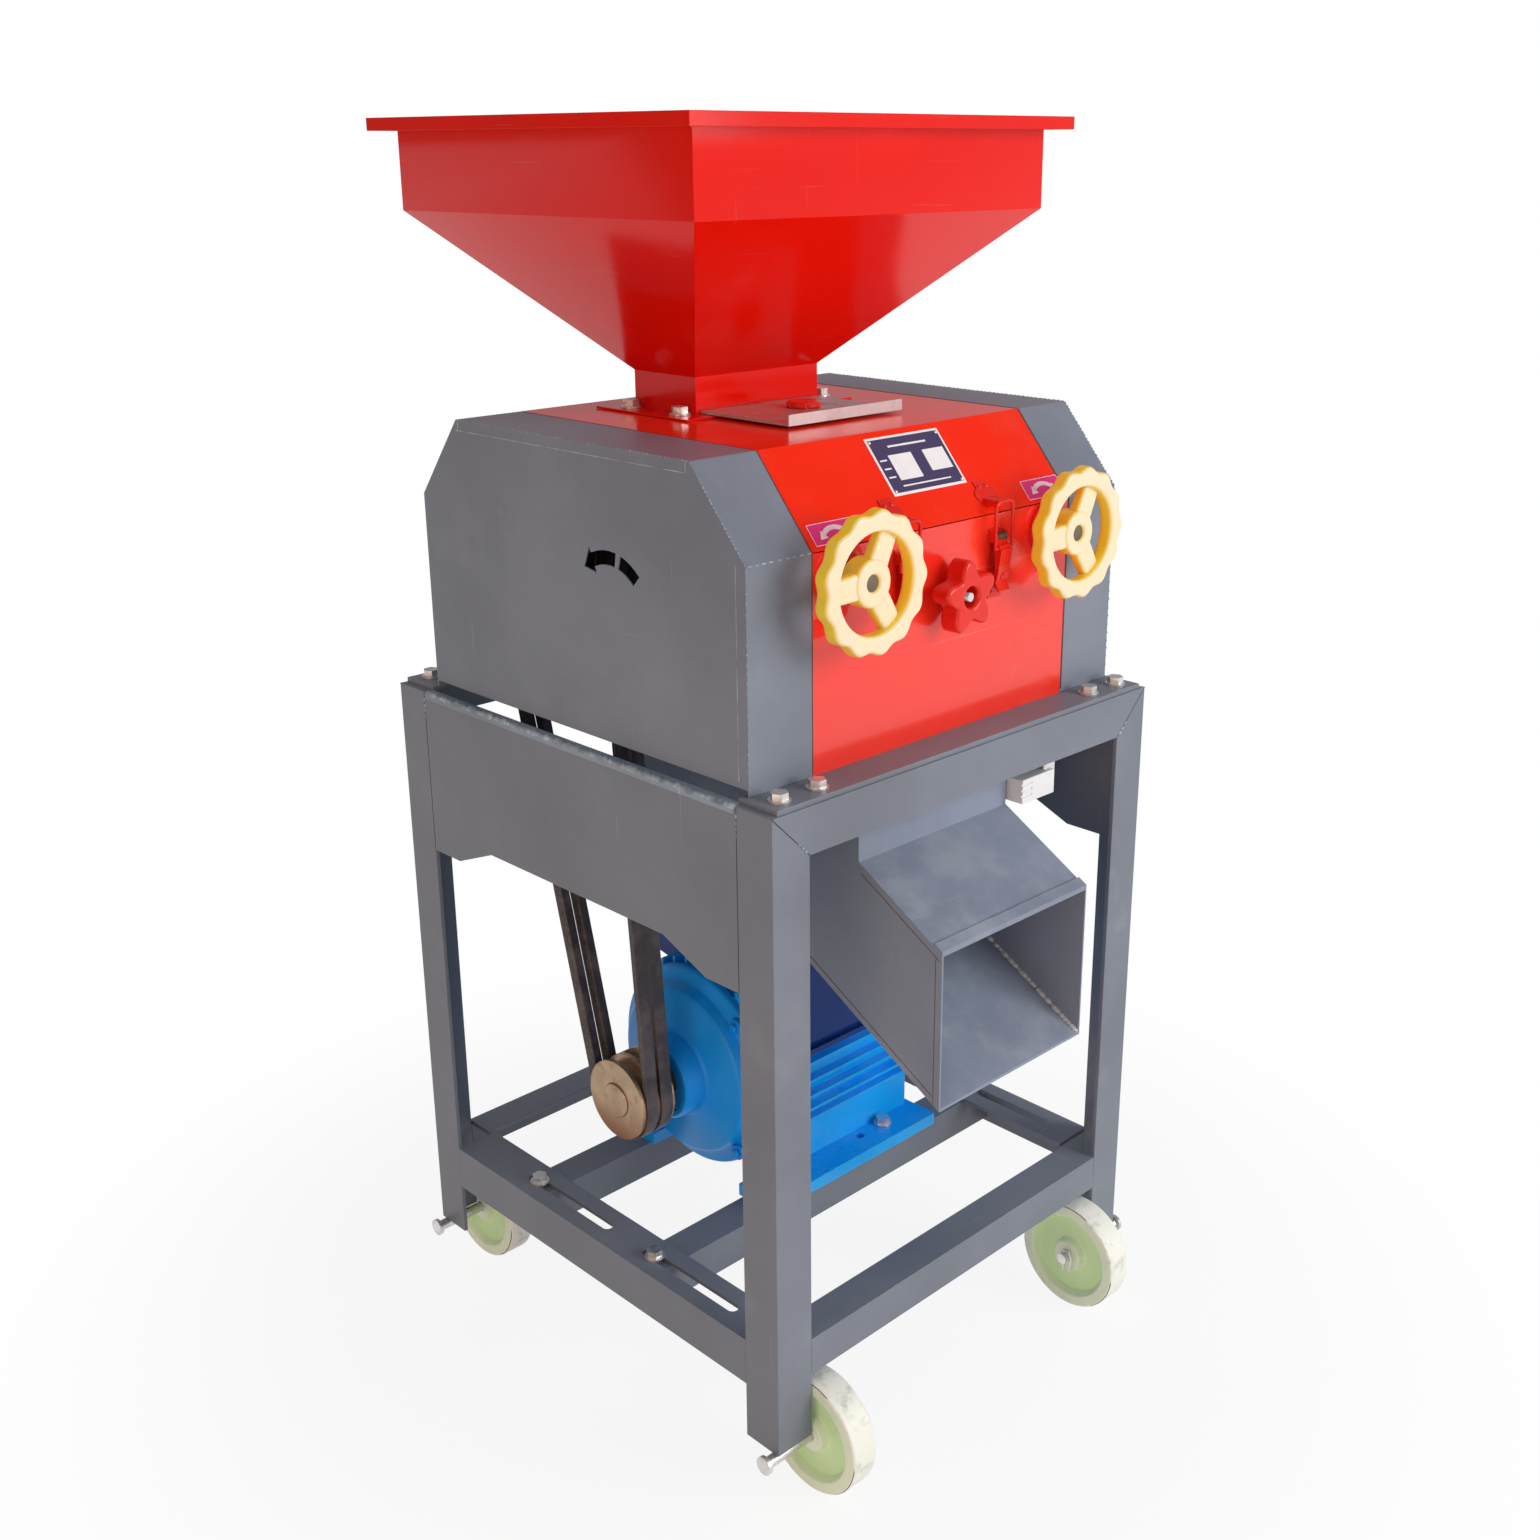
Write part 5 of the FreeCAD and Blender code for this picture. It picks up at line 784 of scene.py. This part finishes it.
def build_star_knob():
    """Moulded five-pointed knob with a deep round recess."""
    radius, point, points, lean, hole = 0.0290, 0.0066, 5, math.radians(25), 0.0098
    recess_floor, collar = (-0.2515, 0.0100, 0.0080), (-0.2420, 0.0105, 0.0100)
    knob = bmesh.new()
    put_formed_ring(knob, (0, KNOB_Z), lambda angle: radius + point * math.cos(points * (angle - lean)),
                    hole, KNOB_FRONT, KNOB_BACK, 120)
    for y, disc_radius, thick in (recess_floor, collar):
        put_disc(knob, to_front(0, y, KNOB_Z), disc_radius, thick, sides=32)
    bmesh.ops.recalc_face_normals(knob, faces=knob.faces)
    finished("star_knob_shape", knob, fitting_red, "panel_knob", 40.0, ("star_knob",),
             0.0045, 5)


def build_star_stud():
    """Threaded end of the star knob's stud, in its recess."""
    crest, root_share, half_pitch, threads = 0.0042, 0.88, 0.0005, 9
    upright = Matrix.Translation((0, -0.2615, KNOB_Z)) @ Matrix.Rotation(math.radians(90), 4, "X")
    stud = bmesh.new()
    rim = bmesh.ops.create_circle(stud, cap_ends=True, segments=16, radius=crest, matrix=upright)
    face = rim["verts"][0].link_faces[0]
    for share in (root_share, 1 / root_share) * threads:
        grown = bmesh.ops.extrude_face_region(stud, geom=[face])
        corners = [item for item in grown["geom"] if isinstance(item, bmesh.types.BMVert)]
        bmesh.ops.translate(stud, verts=corners, vec=(0, -half_pitch, 0))
        middle = sum((corner.co for corner in corners), Vector()) / len(corners)
        bmesh.ops.scale(stud, verts=corners, vec=(share, 1, share), space=Matrix.Translation(-middle))
        face = next(item for item in grown["geom"] if isinstance(item, bmesh.types.BMFace))
    bmesh.ops.recalc_face_normals(stud, faces=stud.faces)
    finished("star_stud", stud, zinc, "panel_knob", 20.0)


def build_catch_rivets(middle, name):
    rivet_radius, rivet_rise, rivet_shift, catch_thick = 0.0026, 0.0018, 0.0046, 0.0015
    rivets = bmesh.new()
    for end in (-1, 1):
        put_dome(rivets, lifted(hood_slope(middle, 0.27), catch_thick), rivet_radius, rivet_rise,
                 end * rivet_shift)
    finished(f"catch_rivets_{name}", rivets, fitting_red, "hood_group", 60.0)


def build_latch_foot(middle, name):
    """Square plate with a rivet below the lever."""
    plate, thick = 0.0115, 0.0012
    foot = bmesh.new()
    base = to_front(middle, FRONT - 0.0015, 0.8605)
    put_slab(foot, base, plate, plate, thick)
    put_dome(foot, lifted(base, thick), 0.0028, 0.0018)
    finished(f"latch_foot_{name}", foot, fitting_red, "stand", 60.0, bevel=0.0003)


def build_latch_spring(middle, name):
    """Six turns of wire, coiled on the lever's pin."""
    coil, wire, pitch, turns = 0.0042, 0.0006, 0.0022, 6
    coils = bmesh.new()
    for step in range(turns):
        centre = Vector((middle + (step - (turns - 1) / 2) * pitch, LATCH_PIN_Y, LATCH_PIN_Z))
        on_coil = centre + Vector((0, 0, coil))
        ring = bmesh.ops.create_circle(coils, cap_ends=False, segments=6, radius=wire,
                                       matrix=Matrix.Translation(on_coil))["verts"]
        edges = list({edge for corner in ring for edge in corner.link_edges})
        bmesh.ops.rotate(coils, verts=ring, cent=on_coil, matrix=Matrix.Rotation(math.radians(90), 3, "X"))
        bmesh.ops.spin(coils, geom=ring + edges, cent=centre, axis=(1, 0, 0), angle=math.tau, steps=12,
                       use_merge=True)
    bmesh.ops.remove_doubles(coils, verts=coils.verts, dist=MERGE_GAP)
    bmesh.ops.recalc_face_normals(coils, faces=coils.faces)
    finished(f"latch_spring_{name}", coils, screw_steel, "stand", 60.0)


def build_catch_plate(middle, name):
    """Plate with two round lobes under the catch."""
    lobe, lobe_shift, width, height, thick = 0.0074, 0.0075, 0.0150, 0.0190, 0.0016
    plate = bmesh.new()
    for end in (-1, 1):
        put_disc(plate, hood_slope(middle + end * lobe_shift, 0.19), lobe, thick, sides=24)
    put_slab(plate, hood_slope(middle, 0.16), width, height, thick)
    finished(f"catch_plate_{name}", plate, fitting_red, "hood_group", 40.0, bevel=0.0004)


def build_bail(middle, name):
    """Bent wire loop with round upper corners and short turned-in ends."""
    bail_y, half, low, high, turned_in, bend, steps = -0.2541, 0.0125, 0.8998, 0.9438, 0.004, 0.0060, 5
    wire = bpy.data.curves.new(f"latch_bail_{name}_shape", "CURVE")
    wire.dimensions = "3D"
    wire.bevel_depth = 0.0017
    wire.bevel_resolution = 3
    wire.use_fill_caps = True
    route = [(-half + turned_in, low), (-half, low)]
    for step in range(steps + 1):
        turn = math.radians(90) * step / steps
        route.append((-half + bend * (1 - math.cos(turn)), high - bend * (1 - math.sin(turn))))
    route += [(-across, rise) for across, rise in reversed(route)]
    spline = wire.splines.new("POLY")
    spline.points.add(len(route) - 1)
    for point, (across, rise) in zip(spline.points, route):
        point.co = (middle + across, bail_y, rise, 1)
    wire.materials.append(fitting_red)
    piece = bpy.data.objects.new(f"latch_bail_{name}_shape", wire)
    bpy.context.scene.collection.objects.link(piece)
    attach(piece, f"{name}_bail")
    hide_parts(f"latch_bail_{name}")


def build_lever_channel(middle, name):
    """Pressed channel on the lever, thinner towards its lower end, with a rivet on a washer."""
    channel_y, channel_z, thin_end_y, washer, thick = -0.2558, 0.8840, -0.2540, 0.0100, 0.0010
    block = Matrix.Translation((middle, channel_y, channel_z)) @ Matrix.Diagonal((0.0165, 0.0066, 0.0300, 1))
    lever = bmesh.new()
    for corner in bmesh.ops.create_cube(lever, size=1.0, matrix=block)["verts"]:
        if corner.co.z < channel_z and corner.co.y < channel_y:
            corner.co.y = thin_end_y
    rivet = to_front(middle + 0.001, -0.2544, 0.8745)
    put_slab(lever, rivet, washer, washer, thick)
    put_dome(lever, lifted(rivet, thick), 0.0024, 0.0016)
    finished(f"lever_channel_{name}", lever, fitting_red, f"{name}_lever", 40.0, bevel=0.0012)


# Motor

def build_end_bells():
    """The drive end's bell as cast: a boss with a lip, a flat face, a shoulder and a rim with lugs."""
    shape = bmesh.new()
    shape.from_mesh(frame["nodes"]["motor_end_bells"].data)
    bmesh.ops.remove_doubles(shape, verts=shape.verts, dist=MERGE_GAP)
    bmesh.ops.delete(shape, geom=[corner for corner in shape.verts if corner.co.x < 0], context="VERTS")
    bmesh.ops.dissolve_limit(shape, angle_limit=FLAT_ANGLE, verts=shape.verts, edges=shape.edges)
    profile = ((-0.1460, 0.021), (-0.1460, 0.036), (-0.1500, 0.0375), (-0.1500, 0.0425), (-0.1460, 0.0450),
               (-0.1260, 0.0470), (-0.1225, 0.0520), (-0.1200, 0.0900), (-0.1170, 0.0945), (-0.1060, 0.0985),
               (-0.1035, 0.1040), (-0.1020, 0.1125), (-0.0990, 0.1140), (-0.0920, 0.1140), (-0.0920, 0.021))
    corners = [shape.verts.new((x, MOTOR_Y, MOTOR_Z + radius)) for x, radius in profile]
    edges = [shape.edges.new(pair) for pair in zip(corners, corners[1:] + corners[:1])]
    bmesh.ops.spin(shape, geom=corners + edges, cent=(0, MOTOR_Y, MOTOR_Z), axis=(1, 0, 0),
                   angle=math.tau, steps=72, use_merge=True)
    lug_x, lug_circle, lug, lug_length = -0.1020, 0.107, 0.0085, 0.0070
    bolt, bolt_length = 0.0050, 0.0040
    for angle in (45, 135, 225, 315):
        turn = math.radians(angle)
        centre = (lug_x, MOTOR_Y + lug_circle * math.cos(turn), MOTOR_Z + lug_circle * math.sin(turn))
        where = facing(centre, (0, -1, 0), (0, 0, 1))
        put_disc(shape, where, lug, lug_length, sides=20)
        put_disc(shape, lifted(where, lug_length), bolt, bolt_length, sides=6)
    bmesh.ops.recalc_face_normals(shape, faces=shape.faces)
    finished("motor_end_bells_shape", shape, bell_blue, "stand", 32.0, ("motor_end_bells",),
             0.0010)


def build_at_latches(*builders):
    for middle, name in ((-LATCH_X, "left"), (LATCH_X, "right")):
        for build in builders:
            build(middle, name)


dress_cad_pieces()
build_nameplate()
build_arrow_labels()
build_cover_welds()
build_frame_welds()
build_at_latches(build_catch_rivets, build_latch_foot, build_latch_spring)
build_handwheels()
build_star_knob()
build_star_stud()
build_end_bells()
build_at_latches(build_catch_plate, build_bail, build_lever_channel)
build_shadow_gaps()
build_chute_seams()


# Surroundings

WHITE = (1, 1, 1, 1)


def build_camera():
    """The photograph's viewpoint, with its focal length and middle in pixels of a square picture."""
    picture, focal, centre_x, centre_y = 1540, 1752.2, 816.4, 732.1
    eye = Vector((-1.2154, -1.2833, 1.2597))
    yaw, pitch, roll = math.radians(45.008), math.radians(18.423), math.radians(-0.133)
    ahead = Vector((math.sin(yaw) * math.cos(pitch), math.cos(yaw) * math.cos(pitch), -math.sin(pitch)))
    right = Vector((math.cos(yaw), -math.sin(yaw), 0))
    up = right.cross(ahead)
    side = right * math.cos(roll) + up * math.sin(roll)
    rise = up * math.cos(roll) - right * math.sin(roll)
    data = bpy.data.cameras.new("camera")
    data.sensor_width = 36
    data.lens = focal / picture * data.sensor_width
    data.shift_x = (picture / 2 - centre_x) / picture
    data.shift_y = (centre_y - picture / 2) / picture
    camera = bpy.data.objects.new("camera", data)
    turn = Matrix((side, rise, -ahead)).transposed()
    camera.matrix_world = Matrix.Translation(eye) @ turn.to_4x4()
    bpy.context.scene.collection.objects.link(camera)
    bpy.context.scene.camera = camera


def build_lamp(name, place_at, aim, size, power, colour):
    data = bpy.data.lights.new(name, "AREA")
    data.shape = "SQUARE"
    data.size = size
    data.energy = power
    data.color = colour
    lamp = bpy.data.objects.new(name, data)
    lamp.location = place_at
    lamp.rotation_euler = (Vector(aim) - Vector(place_at)).to_track_quat("-Z", "Y").to_euler()
    bpy.context.scene.collection.objects.link(lamp)


def build_floor():
    """White floor that keeps the soft shadow near the stand and fades to plain white further out."""
    near, far, near_white = 0.45, 1.0, 0.88
    shape = bmesh.new()
    bmesh.ops.create_grid(shape, x_segments=1, y_segments=1, size=14)
    mesh = bpy.data.meshes.new("floor")
    shape.to_mesh(mesh)
    shape.free()
    material, tree, shader = new_material("floor_white")
    grain = noise(tree, place(tree), 3.0)
    tint = blend_colour(tree, grain, (0.86, 0.86, 0.86, 1), (0.9, 0.9, 0.9, 1))
    tree.links.new(tint, shader.inputs["Base Color"])
    shader.inputs["Roughness"].default_value = 0.9
    shader.inputs["Specular IOR Level"].default_value = 0.1
    distance = add(tree, "ShaderNodeVectorMath", {0: surface_point(tree)}, operation="LENGTH")
    plain = ramp(tree, distance.outputs["Value"], near, far, near_white, 1.0)
    rays = tree.nodes.new("ShaderNodeLightPath").outputs
    mirror = math_node(tree, "MAXIMUM", rays["Is Glossy Ray"], rays["Is Transmission Ray"])
    seen = math_node(tree, "MAXIMUM", rays["Is Camera Ray"], mirror)
    white = add(tree, "ShaderNodeEmission", {"Color": WHITE, "Strength": 1.0})
    mix = add(tree, "ShaderNodeMixShader", {0: times(tree, plain, seen)})
    tree.links.new(shader.outputs[0], mix.inputs[1])
    tree.links.new(white.outputs[0], mix.inputs[2])
    tree.links.new(mix.outputs[0], tree.nodes["Material Output"].inputs["Surface"])
    mesh.materials.append(material)
    floor = bpy.data.objects.new("floor", mesh)
    bpy.context.scene.collection.objects.link(floor)


def build_world():
    """White to the camera, bright in front, warm and dim on the left, dim above and behind."""
    world = bpy.data.worlds.new("studio")
    bpy.context.scene.world = world
    world.use_nodes = True
    tree = world.node_tree
    tree.nodes.clear()
    direction = surface_point(tree, "Generated")
    leftward = ramp(tree, times(tree, part_of(tree, direction, "X"), -1.0), 0.05, 0.7)
    upward = ramp(tree, part_of(tree, direction, "Z"), 0.12, 0.45)
    rearward = ramp(tree, part_of(tree, direction, "Y"), 0.25, 0.7)
    mirrored = blend_colour(tree, rearward, WHITE, (0.36, 0.33, 0.34, 1))
    mirrored = blend_colour(tree, leftward, mirrored, (0.40, 0.26, 0.18, 1))
    mirrored = blend_colour(tree, upward, mirrored, (0.30, 0.30, 0.32, 1))
    soft = blend_colour(tree, leftward, (0.60, 0.61, 0.64, 1), (0.31, 0.185, 0.115, 1))
    soft = blend_colour(tree, upward, soft, (0.34, 0.34, 0.35, 1))
    rays = tree.nodes.new("ShaderNodeLightPath").outputs
    mirror = math_node(tree, "MAXIMUM", rays["Is Glossy Ray"], rays["Is Transmission Ray"])
    colour = blend_colour(tree, mirror, soft, mirrored)
    colour = blend_colour(tree, rays["Is Camera Ray"], colour, WHITE)
    back = add(tree, "ShaderNodeBackground", {"Color": colour, "Strength": 1.0})
    out = tree.nodes.new("ShaderNodeOutputWorld")
    tree.links.new(back.outputs[0], out.inputs[0])


build_camera()
build_floor()
build_world()
build_lamp("front_lamp", (1.3, -3.3, 1.9), (0, 0, 0.6), 2.2, 75, (1.0, 0.99, 0.97))
build_lamp("top_lamp", (0.2, 0.2, 3.6), (0, 0, 0.6), 2.6, 14, (1, 1, 1))
build_lamp("left_lamp", (-2.8, -1.3, 0.8), (0, 0, 0.4), 1.8, 22, (1.0, 0.68, 0.46))
bpy.context.scene.view_settings.view_transform = "Standard"
